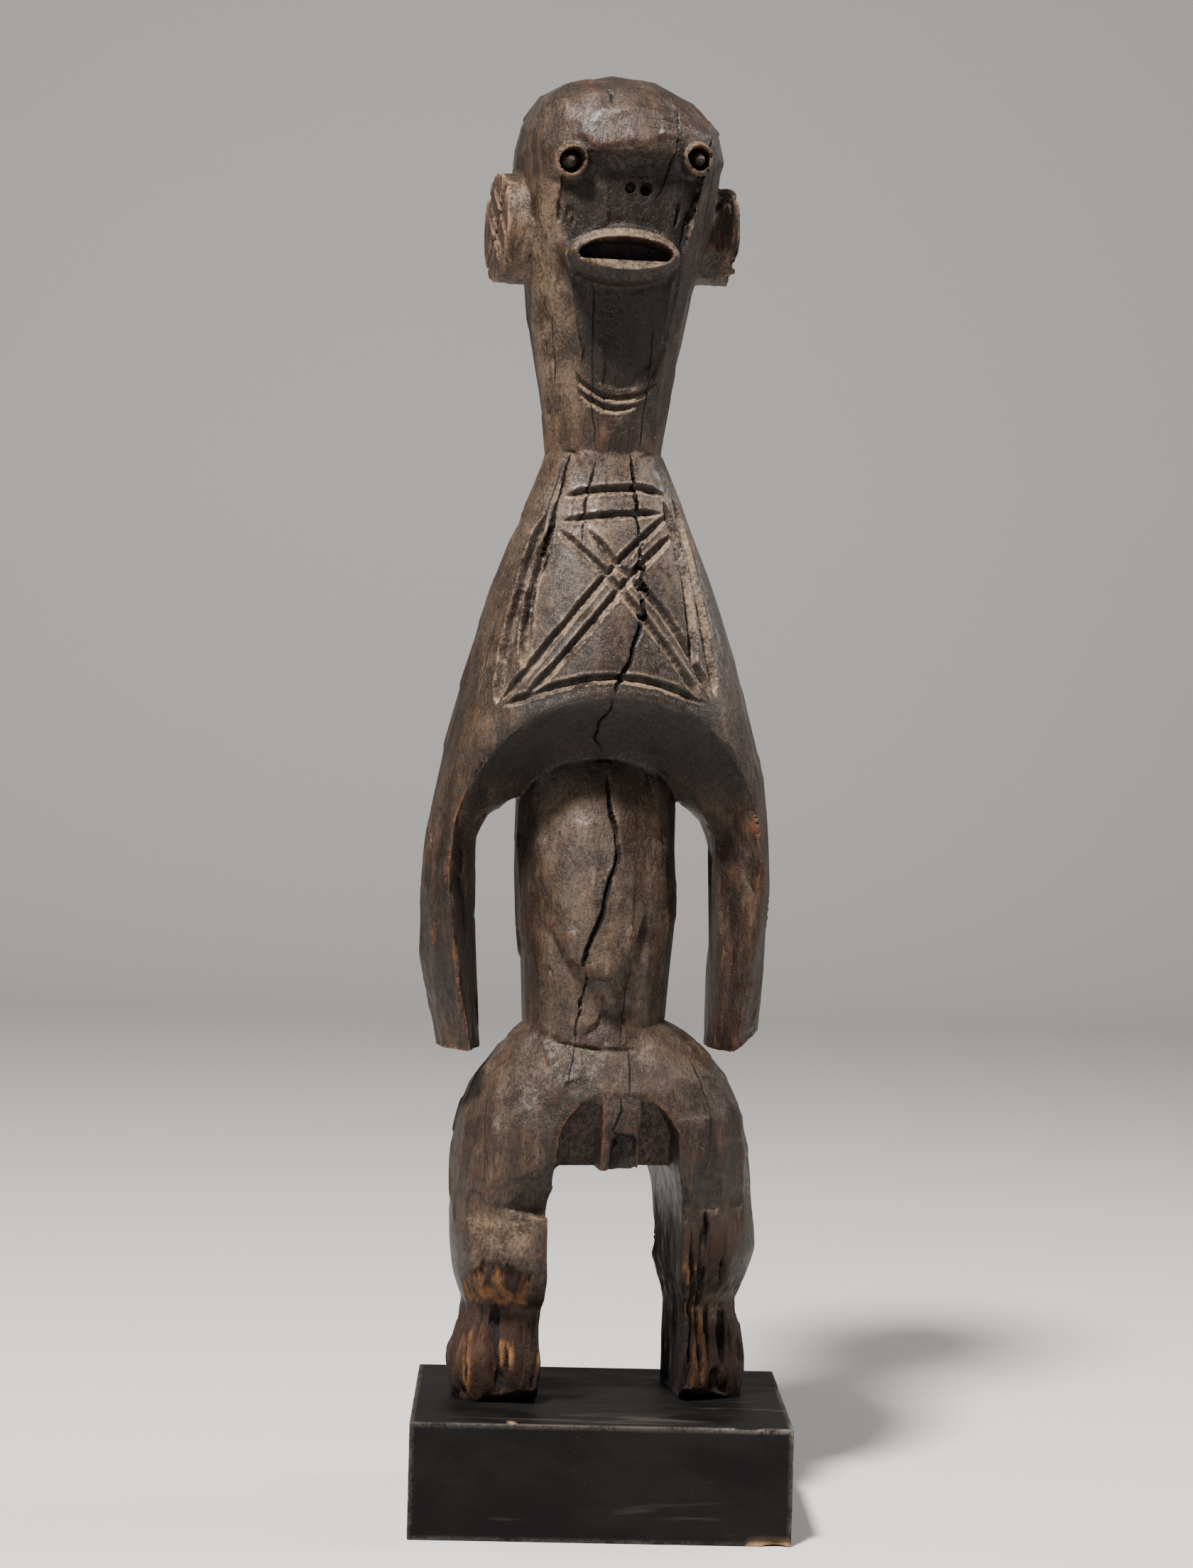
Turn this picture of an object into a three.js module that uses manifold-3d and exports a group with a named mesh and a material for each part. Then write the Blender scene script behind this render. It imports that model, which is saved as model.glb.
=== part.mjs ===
// A standing figure carved from one log, on a sawn wooden block.
// Millimetres, +Z up. The origin is the middle of the block's underside and the block faces -Y.
import * as THREE from 'three';
import { mergeVertices } from 'three/addons/utils/BufferGeometryUtils.js';
import Module from 'manifold-3d';

const wasm = await Module();
wasm.setup();

// Driving sizes. Figure heights are counted from the soles, and its own front is -y.
const PLINTH = { width: 140, depth: 105, height: 43, edge: 0.6 };
const FIGURE = { height: 497.6, turn: THREE.MathUtils.degToRad(9.3), x: -4, y: 5, gap: 0.3 };
const NECK_JOINT = 356;
const HAND_END = 132;
// Cuts from front to back start and end clear of the log, at these levels of y
const THROUGH = [-70, 70];

// Colours
const AGED_WOOD = new THREE.MeshStandardMaterial({ color: 0x3a2c24, roughness: 0.62, metalness: 0 });
const BLACK_PAINT = new THREE.MeshStandardMaterial({ color: 0x14120f, roughness: 0.7, metalness: 0 });

// Each row of a form is one ring of the log: height, middle, reach from the middle to -x and to +x,
// reach to the front and to the back, and how square the ring is (2 is an ellipse).
const [Z, MID, LESS, MORE, FRONT, REAR, SQUARE] = [0, 1, 2, 3, 4, 5, 6];

const HEAD = [
  [NECK_JOINT, -3.2, 22.0, 21.4, 21.5, 21.5, 2.3],
  [368, -3.2, 23.0, 23.4, 23.5, 23.0, 2.4],
  [384, -3.0, 25.8, 24.8, 27.0, 26.0, 2.5],
  [402, -2.6, 29.0, 27.2, 31.0, 30.0, 2.6],
  [420, -2.0, 32.2, 30.4, 34.0, 34.0, 2.7],
  [438, -1.4, 34.6, 34.4, 37.0, 37.5, 2.8],
  [453, -1.0, 37.2, 37.0, 39.5, 40.0, 2.8],
  [462, -0.8, 38.6, 38.0, 42.5, 41.0, 2.8],
  [470, -0.6, 38.4, 38.0, 43.8, 41.0, 2.7],
  [478, -0.6, 37.0, 36.0, 42.0, 39.5, 2.6],
  [485.5, -0.6, 33.8, 28.6, 36.5, 35.5, 2.5],
  [491, -0.4, 28.6, 19.6, 29.0, 29.0, 2.4],
  [495, -0.2, 18.6, 11.6, 20.0, 20.0, 2.2],
  [FIGURE.height, 0.4, 4.0, 3.0, 4.0, 4.0, 2.0],
];

// The wood left behind the face and the throat once they are cut back
const FACE_BED = [
  [350, -3.2, 26.0, 26.0, 21.0, 20.0, 2.6],
  [372, -3.2, 30.0, 30.0, 23.0, 20.0, 2.6],
  [384, -3.0, 32.0, 32.0, 25.0, 20.0, 2.6],
  [402, -2.6, 36.0, 36.0, 28.6, 20.0, 2.6],
  [420, -2.0, 40.0, 40.0, 31.8, 20.0, 2.6],
  [440, -1.4, 42.0, 42.0, 34.6, 20.0, 2.6],
  [456, -1.0, 44.0, 44.0, 36.0, 20.0, 2.6],
  [463, -1.0, 44.0, 44.0, 40.0, 20.0, 2.6],
  [470, -1.0, 44.0, 44.0, 56.0, 20.0, 2.6],
];

const MANTLE = [
  [HAND_END - 4, 0.0, 60.4, 58.6, 38.0, 37.5, 2.2],
  [150, -0.4, 64.9, 63.0, 41.5, 41.0, 2.2],
  [168, -0.6, 67.8, 64.6, 44.0, 42.5, 2.2],
  [185, -0.8, 68.8, 65.2, 45.6, 43.0, 2.2],
  [206, -0.8, 67.3, 65.0, 46.2, 43.0, 2.2],
  [228, -0.6, 63.4, 62.6, 46.0, 42.5, 2.2],
  [250, -0.5, 59.4, 57.2, 44.0, 40.5, 2.2],
  [276, -0.4, 53.4, 50.4, 40.0, 37.5, 2.2],
  [300, -0.4, 45.8, 42.6, 35.0, 33.5, 2.2],
  [322, -0.4, 38.4, 33.8, 29.6, 29.0, 2.2],
  [340, -0.8, 30.4, 26.6, 24.8, 25.0, 2.2],
  [350, -1.8, 24.8, 23.2, 22.0, 22.6, 2.2],
  [NECK_JOINT, -2.8, 22.0, 20.4, 20.6, 20.6, 2.2],
];

const TORSO = [
  [126, -1.6, 22.0, 22.0, 18.0, 18.0, 2.2],
  [138, -1.6, 26.4, 26.4, 23.0, 22.0, 2.3],
  [150, -1.8, 27.2, 27.4, 26.6, 22.0, 2.3],
  [165, -1.8, 28.2, 28.6, 28.6, 22.0, 2.3],
  [182, -2.0, 30.6, 30.4, 28.4, 22.0, 2.3],
  [205, -2.4, 31.0, 30.4, 24.4, 21.0, 2.3],
  [228, -2.6, 30.8, 30.0, 19.6, 20.0, 2.3],
  [242, -2.6, 30.0, 30.0, 17.0, 19.0, 2.3],
];

const BELLY = [
  [144, -4.5, 20.0, 15.0, 31.0, 5.0, 2.0],
  [160, -4.5, 25.0, 18.0, 36.6, 5.0, 2.0],
  [176, -4.5, 27.0, 20.0, 35.6, 5.0, 2.0],
  [196, -4.5, 27.5, 23.0, 31.0, 5.0, 2.0],
  [216, -4.0, 27.5, 25.0, 25.2, 5.0, 2.0],
  [240, -4.0, 26.0, 26.0, 18.0, 5.0, 2.0],
];

const HIPS = [
  [0, 2.0, 54.2, 56.6, 20.0, 22.0, 2.9],
  [6, 1.8, 56.4, 58.2, 21.6, 23.6, 2.9],
  [16, 1.8, 57.2, 57.8, 22.6, 24.6, 2.9],
  [27, 1.8, 52.8, 56.0, 22.8, 24.4, 2.8],
  [36, 2.0, 51.4, 53.6, 22.6, 23.0, 2.7],
  [40, 2.0, 53.2, 54.6, 28.6, 22.2, 2.7],
  [47, 2.2, 55.6, 57.0, 33.4, 21.6, 2.7],
  [57, 2.6, 57.4, 59.8, 36.0, 22.2, 2.7],
  [68, 2.4, 57.6, 58.6, 36.4, 25.4, 2.7],
  [76, 2.4, 57.4, 57.6, 34.6, 29.0, 2.6],
  [80, 2.2, 57.2, 57.0, 37.4, 31.6, 2.6],
  [90, 2.0, 56.6, 56.2, 39.6, 36.4, 2.5],
  [101, 2.0, 55.4, 55.2, 39.8, 38.0, 2.5],
  [112, 2.0, 52.6, 52.4, 38.0, 36.6, 2.4],
  [123, 1.6, 46.4, 46.8, 34.4, 32.8, 2.4],
  [132, 1.0, 37.8, 39.8, 29.6, 28.4, 2.3],
  [140, 0.0, 29.6, 31.4, 25.0, 24.0, 2.3],
  [144, -1.0, 20.0, 22.0, 19.0, 19.0, 2.2],
];

// The saw cuts under the arms, as x and the height over the level of the hands
const ARM_SPARE = 30;
const ARM_ENDS = [
  [[-80, 15], [-72, 15], [-62, 0], [-30, 0]],
  [[30, 0], [47, 0], [54, 3.6], [80, 18]],
];

// The raised front of the trunk narrows downwards to a point
const BELLY_LEAF = [
  [-31, 240], [-31, 190], [-25, 179], [-8.5, 162.5], [-4, 159.5],
  [1, 161], [4, 165], [11, 184], [22, 206], [31, 240],
];

// The round-topped hollow under the chest. It goes right through behind and in front of the trunk,
// is narrowest near the middle and widens towards both faces.
const ARCH = {
  handMiddle: -1.2, elbowMiddle: -3.2, floor: 118, hand: 44, elbow: 46.5, elbowHeight: 205, crown: 232,
  square: 2.2, steps: 20, throat: [-6, 8], levels: [-60, -40, -22, -6, 8, 24, 40, 60],
  handFlare: 0.3, elbowFlare: 0.71, rise: 0.92, backShare: 0.7,
};

// The opening between the legs, in x and z
const LEG_GAP = [
  [-22.4, -10], [32, -10], [32, 33], [30.5, 40], [27.5, 49], [27.6, 77], [24.5, 90], [-18.5, 90],
  [-22.4, 77],
];

// The flap between the thighs, the hollows at its sides and the undercut of each thigh
const LOIN = {
  top: 117.5, front: -36.5, slope: 0.43,
  hollows: [
    [[-4, 117.5], [-12, 114.5], [-18, 106.5], [-20, 100.5], [-21.5, 84], [-5.4, 84]],
    [[10.5, 117.5], [9.3, 84], [24.8, 84], [24.3, 103], [21.2, 108.4], [16, 115]],
  ],
  break: [[0, 103], [-1.5, 84], [8.2, 84], [8.2, 103]], breakDepth: -35,
  undercuts: [
    { top: 98, slope: 0.5, outline: [
      [-43.6, 75.6], [-26, 71.8], [-12, 71.8], [-12, 98], [-19.8, 98], [-34.2, 92.7],
    ] },
    { top: 97.4, slope: 0.34, outline: [[20, 98], [20, 75.5], [47.5, 75.5], [47.5, 79.5], [24, 97.4]] },
  ],
  undercutFront: -40,
};

// The soles are cut up in front of the pivot line, as toes are
const TOES = { pivot: -13, lift: THREE.MathUtils.degToRad(35), tool: [140, 40, 20] };

const CHEST = {
  width: 3.2, depth: 1.5,
  lines: [
    [[-20.8, 339], [-4.6, 341.6], [7.7, 342.4], [16.6, 340.8]],
    [[-18, 330], [-4.9, 331.9], [14, 333.8]],
    [[-42.8, 260.7], [-23.9, 268], [-4.6, 271.6], [12.8, 269.2], [30.6, 263.4]],
    [[-43.4, 263.6], [-25, 286.8], [-8.2, 307.6], [16, 331.6]],
    [[-35.8, 264.2], [-17.4, 285], [1.2, 307.7], [18, 324.6]],
    [[-12.8, 325.8], [-3.8, 314.6], [14.7, 296.3], [33, 266.8]],
    [[-23.3, 325.8], [-8, 311], [5, 296.2], [28.4, 265]],
    [[-27.3, 333], [-36.5, 305], [-43.6, 277.2], [-45.8, 261.8]],
    [[-25.2, 329], [-33.1, 303.7], [-36.7, 275]],
    [[16.4, 338.4], [23.1, 310.8], [27.1, 275.4]],
    [[21, 340.2], [28.1, 308.4], [35.4, 266.6]],
  ],
};

const THROAT_LINES = {
  width: 3, depth: 1.3,
  lines: [
    [[-19, 384.3], [-13.6, 378.4], [-3, 375.2], [6.5, 377.5], [12, 381.8]],
    [[-18, 379.2], [-12.8, 374.1], [-3.3, 371.3], [5.4, 373.5]],
  ],
};

// Long scars on the cheeks, each on the surface that it is cut into
const SCARS = {
  width: 2.4, depth: 2.4, outer: [[-28.6, 447.4], [-28.2, 441.6]],
  inner: [
    [[-25.2, 447.4], [-23.9, 436.6]],
    [[17.3, 449], [15.8, 438.6]],
    [[22.6, 447.4], [20.4, 438.4]],
  ],
};

// The groove down the back and the cleft below it
const BACK = {
  spine: [[-0.6, 344], [-0.6, 300], [-0.4, 258]], spineWidth: 5, spineDepth: 2,
  cleft: [[1, 131], [1.4, 112], [1.6, 92]], cleftWidth: 10, cleftDepth: 5,
};

const FACE = {
  panel: [
    [-27.6, 470], [-27.6, 441], [-23.4, 421], [-19.8, 404], [-16.0, 388], [-10.5, 380.6], [-3.0, 378.6],
    [4.5, 379.6], [10.6, 383.6], [14.4, 393], [18.2, 416], [21.2, 438], [25.4, 458], [25.4, 470],
  ],
  panelLevels: [THROUGH[0], -8],
  eyes: [[-24.6, 460.2], [22.6, 463.2]],
  eyeRing: 5.0, eyeBead: 1.65, eyePost: 6.2, eyeRoot: 12, eyeHole: 3.3, eyeDepth: 3.6,
  nostrils: [[-2.2, 451], [2.9, 450.2]], nostrilHole: 2.1, nostrilDepth: 7,
};

const MOUTH = {
  x: -5.0, z: 426.0, halfWidth: 21.0, halfHeight: 9.9, lip: 46.8, root: 27, bow: 3.2, round: 1.5,
  hollowWidth: 17.6, hollowHeight: 5.8, hollowDepth: 5.5, slitInset: 2.5, slitHeight: 0.9, slitDrop: 1.2,
};

const EARS = {
  less: { side: -1, radius: 20.6, z: 440.6 },
  more: { side: 1, radius: 18.8, z: 441.4 },
  reach: 45.4, root: 28, middle: -1.2, y: 2, toe: 2.4, mark: 3.4,
};

const GROOVE = { step: 7, lift: 0.8, end: 0.4 };

// Solid helpers
function solidOf(geometry) {
  const bare = geometry.clone();
  bare.deleteAttribute('normal');
  bare.deleteAttribute('uv');
  const merged = mergeVertices(bare, 1e-4);
  return new wasm.Manifold(new wasm.Mesh({
    numProp: 3,
    vertProperties: new Float32Array(merged.attributes.position.array),
    triVerts: new Uint32Array(merged.index.array),
  }));
}

function geometryOf(solid) {
  const mesh = solid.getMesh();
  const geometry = new THREE.BufferGeometry();
  geometry.setAttribute('position', new THREE.BufferAttribute(mesh.vertProperties, 3));
  geometry.setIndex(new THREE.BufferAttribute(mesh.triVerts, 1));
  geometry.computeVertexNormals();
  return geometry;
}

const joined = (...solids) => solids.reduce((all, one) => all.add(one));
const cut = (solid, ...tools) => tools.reduce((all, one) => all.subtract(one), solid);

function moved(geometry, move) {
  const place = geometry.attributes.position;
  const point = new THREE.Vector3();
  for (let i = 0; i < place.count; i += 1) {
    move(point.fromBufferAttribute(place, i));
    place.setXYZ(i, point.x, point.y, point.z);
  }
  return geometry;
}

// The ring of a form at any place between two of its rows
function ringAt(form, place) {
  const i = Math.min(Math.floor(place), form.length - 2);
  return form[i].map((value, k) => THREE.MathUtils.lerp(value, form[i + 1][k], place - i));
}

function ringAtHeight(form, z) {
  const above = form.findIndex((ring) => ring[Z] >= z);
  const i = THREE.MathUtils.clamp(above - 1, 0, form.length - 2);
  return ringAt(form, i + THREE.MathUtils.clamp((z - form[i][Z]) / (form[i + 1][Z] - form[i][Z]), 0, 1));
}

function onRing(ring, angle) {
  const power = 2 / ring[SQUARE];
  const [across, along] = [Math.cos(angle), Math.sin(angle)];
  const x = Math.sign(across) * Math.abs(across) ** power * (across > 0 ? ring[MORE] : ring[LESS]);
  const y = Math.sign(along) * Math.abs(along) ** power * (along > 0 ? ring[REAR] : ring[FRONT]);
  return [ring[MID] + x, y];
}

// The point of a form's front, or back, surface at x and z
function onForm(form, x, z, face = -1) {
  const ring = ringAtHeight(form, z);
  const side = x - ring[MID];
  const share = Math.min(Math.abs(side) / (side > 0 ? ring[MORE] : ring[LESS]), 0.98);
  const deep = (1 - share ** ring[SQUARE]) ** (1 / ring[SQUARE]);
  return new THREE.Vector3(x, face * deep * (face < 0 ? ring[FRONT] : ring[REAR]), z);
}

function normalOn(form, x, z, face = -1) {
  const across = onForm(form, x + 0.5, z, face).sub(onForm(form, x - 0.5, z, face));
  const along = onForm(form, x, z + 0.5, face).sub(onForm(form, x, z - 0.5, face));
  return across.cross(along).multiplyScalar(-face).normalize();
}

// A closed body through all the rings of a form
function carved(form, sides) {
  const geometry = new THREE.CylinderGeometry(1, 1, 1, sides, form.length - 1);
  geometry.rotateX(Math.PI / 2);
  return solidOf(moved(geometry, (point) => {
    const ring = ringAt(form, (point.z + 0.5) * (form.length - 1));
    const onAxis = Math.hypot(point.x, point.y) < 0.5;
    const [x, y] = onAxis ? [ring[MID], 0] : onRing(ring, Math.atan2(point.y, point.x));
    point.set(x, y, ring[Z]);
  }));
}

// A prism of an outline in x and z that stands at the given levels of y, front first
function slab(outline, levels, move = () => {}) {
  const shape = Array.isArray(outline)
    ? new THREE.Shape(outline.map(([x, z]) => new THREE.Vector2(x, z)))
    : outline;
  const steps = levels.length - 1;
  const geometry = new THREE.ExtrudeGeometry(shape, {
    depth: steps, steps, bevelEnabled: false, curveSegments: 9,
  });
  return solidOf(moved(geometry, (point) => {
    point.set(point.x, levels[steps - Math.round(point.z)], point.y);
    move(point);
  }));
}

// A V-shaped cut along a line of [x, z] points on a form, which fades out at its ends
function groove(form, points, width, depth, face = -1) {
  const corners = points.map(([x, z]) => new THREE.Vector3(x, 0, z));
  const line = new THREE.CatmullRomCurve3(corners, false, 'centripetal');
  const steps = Math.max(2, Math.round(line.getLength() / GROOVE.step));
  const geometry = new THREE.CylinderGeometry(1, 1, 1, 3, steps);
  const at = (t) => {
    const { x, z } = line.getPointAt(THREE.MathUtils.clamp(t, 0, 1));
    return onForm(form, x, z, face);
  };
  return solidOf(moved(geometry, (point) => {
    const t = point.y + 0.5;
    const middle = at(t);
    const ahead = at(t + 0.02).sub(at(t - 0.02)).normalize();
    const out = normalOn(form, middle.x, middle.z, face);
    const across = ahead.clone().cross(out).normalize();
    const size = Math.abs(point.y) > 0.499 ? GROOVE.end : 1;
    const onAxis = Math.hypot(point.x, point.z) < 0.5;
    const side = onAxis ? 0 : -point.x / Math.sin(Math.PI / 3);
    const bottom = !onAxis && point.z > 0;
    const flare = (depth * size + GROOVE.lift) / (depth * size);
    point.copy(middle)
      .addScaledVector(across, side * size * flare * width / 2)
      .addScaledVector(out, bottom ? -depth * size : GROOVE.lift * (onAxis ? 0.5 : 1));
  }));
}

// A round tool that stands on a form's front at x and z and looks along the surface's normal
function faced(geometry, form, x, z, sink = 0) {
  const out = normalOn(form, x, z);
  geometry.applyQuaternion(new THREE.Quaternion().setFromUnitVectors(new THREE.Vector3(0, 0, 1), out));
  const { x: px, y: py, z: pz } = onForm(form, x, z).addScaledVector(out, -sink);
  return geometry.translate(px, py, pz);
}

function drill(form, x, z, radius, depth) {
  const tool = new THREE.CylinderGeometry(radius, radius, 2 * depth, 12);
  return solidOf(faced(tool.rotateX(Math.PI / 2), form, x, z));
}

// Head and neck
function eye([x, z]) {
  const bead = new THREE.TorusGeometry(FACE.eyeRing, FACE.eyeBead, 8, 20);
  const post = new THREE.CylinderGeometry(FACE.eyePost, FACE.eyePost, FACE.eyeRoot, 20);
  post.rotateX(Math.PI / 2).translate(0, 0, -FACE.eyeRoot / 2);
  return joined(solidOf(faced(bead, HEAD, x, z, -0.2)), solidOf(faced(post, HEAD, x, z, -0.2)));
}

function mouthBody() {
  const { halfWidth, halfHeight, lip, root: back, round } = MOUTH;
  const levels = [[-lip, round], [round - lip, 0], [-back, 0]];
  const geometry = new THREE.CylinderGeometry(1, 1, 1, 28, levels.length - 1);
  return solidOf(moved(geometry.rotateX(Math.PI / 2), (point) => {
    const [y, inset] = levels[Math.round((point.z + 0.5) * (levels.length - 1))];
    const bow = MOUTH.bow * Math.min(1, Math.abs(point.x)) ** 2;
    point.set(MOUTH.x + point.x * (halfWidth - inset), y + bow, MOUTH.z - point.y * (halfHeight - inset));
  }));
}

function mouthHollow() {
  const geometry = new THREE.CylinderGeometry(1, 1, 1, 24, 1);
  const mouthpiece = -MOUTH.lip - 1;
  return solidOf(moved(geometry.rotateX(Math.PI / 2), (point) => {
    const deep = point.z > 0;
    const high = deep ? MOUTH.slitHeight : MOUTH.hollowHeight;
    const wide = MOUTH.hollowWidth - (deep ? MOUTH.slitInset : 0);
    const bow = MOUTH.bow * (point.x * MOUTH.hollowWidth / MOUTH.halfWidth) ** 2;
    point.set(
      MOUTH.x + point.x * wide,
      (deep ? MOUTH.hollowDepth - MOUTH.lip : mouthpiece) + bow,
      MOUTH.z - point.y * high - (deep ? MOUTH.slitDrop : 0),
    );
  }));
}

// An ear lies on its side, and its flat outer face turns a little to the front
function toed(geometry, { side, z }) {
  geometry.rotateZ(side * THREE.MathUtils.degToRad(EARS.toe));
  return solidOf(geometry.translate(EARS.middle, EARS.y, z));
}

function ear(one) {
  const length = EARS.reach - EARS.root;
  const drum = new THREE.CylinderGeometry(one.radius, one.radius, length, 24);
  drum.rotateZ(Math.PI / 2).translate(one.side * (EARS.root + length / 2), 0, 0);
  return toed(drum, one);
}

// Two crossed cuts in the outer face of an ear
function earMark(one) {
  const bars = [Math.PI / 4, -Math.PI / 4].map((slant) => {
    const bar = new THREE.BoxGeometry(EARS.mark, EARS.mark, 2 * one.radius + 6);
    bar.rotateZ(Math.PI / 4).rotateX(slant).translate(one.side * (EARS.reach + 0.4), 0, 0);
    return toed(bar, one);
  });
  return joined(...bars);
}

const engraved = (form, { lines, width, depth }) => lines.map((line) => groove(form, line, width, depth));

function head() {
  const facePanel = slab(FACE.panel, FACE.panelLevels);
  const bare = cut(carved(HEAD, 28), cut(facePanel, carved(FACE_BED, 28)));
  const raised = joined(bare, mouthBody(), ear(EARS.less), ear(EARS.more), ...FACE.eyes.map(eye));
  return cut(
    raised,
    mouthHollow(),
    earMark(EARS.less),
    earMark(EARS.more),
    ...FACE.eyes.map(([x, z]) => drill(HEAD, x, z, FACE.eyeHole, FACE.eyeDepth)),
    ...FACE.nostrils.map(([x, z]) => drill(FACE_BED, x, z, FACE.nostrilHole, FACE.nostrilDepth)),
    ...engraved(HEAD, THROAT_LINES),
    groove(HEAD, SCARS.outer, SCARS.width, SCARS.depth),
    ...engraved(FACE_BED, { ...SCARS, lines: SCARS.inner }),
  );
}

// Mantle: chest, shoulders and arms in one shell
function archHollow() {
  const { hand, elbow, elbowHeight, crown, floor, steps } = ARCH;
  const power = 2 / ARCH.square;
  const door = [[-hand, floor], [hand, floor]];
  for (let i = 0; i <= steps; i += 1) {
    const [across, up] = [Math.cos(Math.PI * i / steps), Math.sin(Math.PI * i / steps)];
    const x = Math.sign(across) * elbow * Math.abs(across) ** power;
    door.push([x, elbowHeight + (crown - elbowHeight) * Math.max(0, up) ** power]);
  }
  const [front, back] = ARCH.throat;
  return slab(door, ARCH.levels, (point) => {
    const out = Math.max(0, front - point.y) + ARCH.backShare * Math.max(0, point.y - back);
    const height = THREE.MathUtils.clamp((point.z - floor) / (elbowHeight - floor), 0, 1);
    const flare = THREE.MathUtils.lerp(ARCH.handFlare, ARCH.elbowFlare, height);
    const half = THREE.MathUtils.lerp(hand, elbow, height);
    const middle = THREE.MathUtils.lerp(ARCH.handMiddle, ARCH.elbowMiddle, height);
    point.x = middle + point.x * (half + flare * out) / half;
    if (point.z > elbowHeight) {
      const span = crown - elbowHeight;
      point.z = elbowHeight + (point.z - elbowHeight) * (span + ARCH.rise * out) / span;
    }
  });
}

// The ends of the arms are sawn off, the one on +x at a slant
function armEnds() {
  const low = HAND_END - ARM_SPARE;
  return ARM_ENDS.map((top) => {
    const [first, last] = [top[0][0], top[top.length - 1][0]];
    const outline = [[first, low], [last, low], ...top.map(([x, up]) => [x, HAND_END + up]).reverse()];
    return slab(outline, THROUGH);
  });
}

function mantle() {
  return cut(
    carved(MANTLE, 36),
    archHollow(),
    ...armEnds(),
    ...engraved(MANTLE, CHEST),
    groove(MANTLE, BACK.spine, BACK.spineWidth, BACK.spineDepth, 1),
  );
}

// Trunk, hips and legs
function trunk() {
  const leaf = slab(BELLY_LEAF, [THROUGH[0], 4]);
  return joined(carved(TORSO, 28), carved(BELLY, 24).intersect(leaf));
}

// A hollow cut from the front that gets deeper from its top downwards
function scoop(outline, top, front, slope) {
  return slab(outline, [THROUGH[0], front], (point) => {
    if (point.y === front) point.y += (top - point.z) * slope;
  });
}

function toeLift() {
  const [width, depth, height] = TOES.tool;
  const tool = new THREE.BoxGeometry(width, depth, height).translate(0, -depth / 2, -height / 2);
  return solidOf(tool.rotateX(-TOES.lift).translate(0, TOES.pivot, 0));
}

function legs() {
  return cut(
    carved(HIPS, 32),
    slab(LEG_GAP, THROUGH),
    toeLift(),
    ...LOIN.hollows.map((outline) => scoop(outline, LOIN.top, LOIN.front, LOIN.slope)),
    ...LOIN.undercuts.map(({ outline, top, slope }) => scoop(outline, top, LOIN.undercutFront, slope)),
    slab(LOIN.break, [THROUGH[0], LOIN.breakDepth]),
    groove(HIPS, BACK.cleft, BACK.cleftWidth, BACK.cleftDepth, 1),
  );
}

// The block, with the sharpness taken off all its edges
function block() {
  const { width, depth, height, edge } = PLINTH;
  const [w, d] = [width / 2, depth / 2];
  const outline = [
    [-w + edge, -d], [w - edge, -d], [w, -d + edge], [w, d - edge],
    [w - edge, d], [-w + edge, d], [-w, d - edge], [-w, -d + edge],
  ];
  return new THREE.ExtrudeGeometry(new THREE.Shape(outline.map(([x, y]) => new THREE.Vector2(x, y))), {
    depth: height - 2 * edge, bevelThickness: edge, bevelSize: edge, bevelOffset: -edge, bevelSegments: 1,
  }).translate(0, 0, edge);
}

function piece(name, geometry, material) {
  const mesh = new THREE.Mesh(geometry, material);
  mesh.name = name;
  return mesh;
}

const wood = joined(head(), mantle(), trunk(), legs());
const stand = new THREE.Group();
stand.position.set(FIGURE.x, FIGURE.y, PLINTH.height + FIGURE.gap);
stand.rotation.z = FIGURE.turn;
stand.add(piece('figure', geometryOf(wood), AGED_WOOD));

const root = new THREE.Group();
root.add(piece('plinth', block(), BLACK_PAINT), stand);

export default root;
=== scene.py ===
"""A carved wooden figure on a black block: fine relief, old patina and a plain stage.

Lengths inside the carving functions are millimetres in the figure's own frame, which has its front at -Y,
its soles at Z = 0 and its turn on the block taken out. Everything else is in metres.
"""

import itertools
import math

import bmesh
import bpy
import numpy as np
from mathutils import Matrix, Vector
from mathutils.bvhtree import BVHTree


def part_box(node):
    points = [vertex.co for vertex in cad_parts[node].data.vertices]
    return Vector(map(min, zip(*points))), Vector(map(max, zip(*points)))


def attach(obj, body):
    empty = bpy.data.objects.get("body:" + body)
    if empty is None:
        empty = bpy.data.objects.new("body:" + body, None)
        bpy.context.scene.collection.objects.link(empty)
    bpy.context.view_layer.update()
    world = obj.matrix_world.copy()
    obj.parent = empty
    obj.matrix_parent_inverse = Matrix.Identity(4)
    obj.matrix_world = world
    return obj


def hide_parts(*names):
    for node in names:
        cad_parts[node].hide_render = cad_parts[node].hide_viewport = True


bl_info = {
    "name": "Carved figure on a block",
    "version": (1, 0, 0),
    "blender": (4, 5, 0),
    "location": "View3D > Sidebar > Carving",
    "description": "Carves and finishes an old wooden figure and the block that it stands on",
    "category": "Object",
}

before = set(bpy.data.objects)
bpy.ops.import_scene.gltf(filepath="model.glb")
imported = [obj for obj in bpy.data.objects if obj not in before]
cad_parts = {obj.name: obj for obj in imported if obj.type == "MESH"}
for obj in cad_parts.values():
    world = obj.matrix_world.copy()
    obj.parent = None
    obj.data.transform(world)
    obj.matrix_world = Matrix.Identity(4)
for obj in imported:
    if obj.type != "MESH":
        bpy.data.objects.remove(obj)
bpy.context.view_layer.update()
FIGURE_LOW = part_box("figure")[0]
BLOCK_LOW, BLOCK_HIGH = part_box("plinth")

MM = 0.001
TURN = math.radians(9.3)
STAND = np.array([-4.0, 5.0, FIGURE_LOW.z / MM])
GAP = (FIGURE_LOW.z - BLOCK_HIGH.z) / MM
SEED = 7

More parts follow.
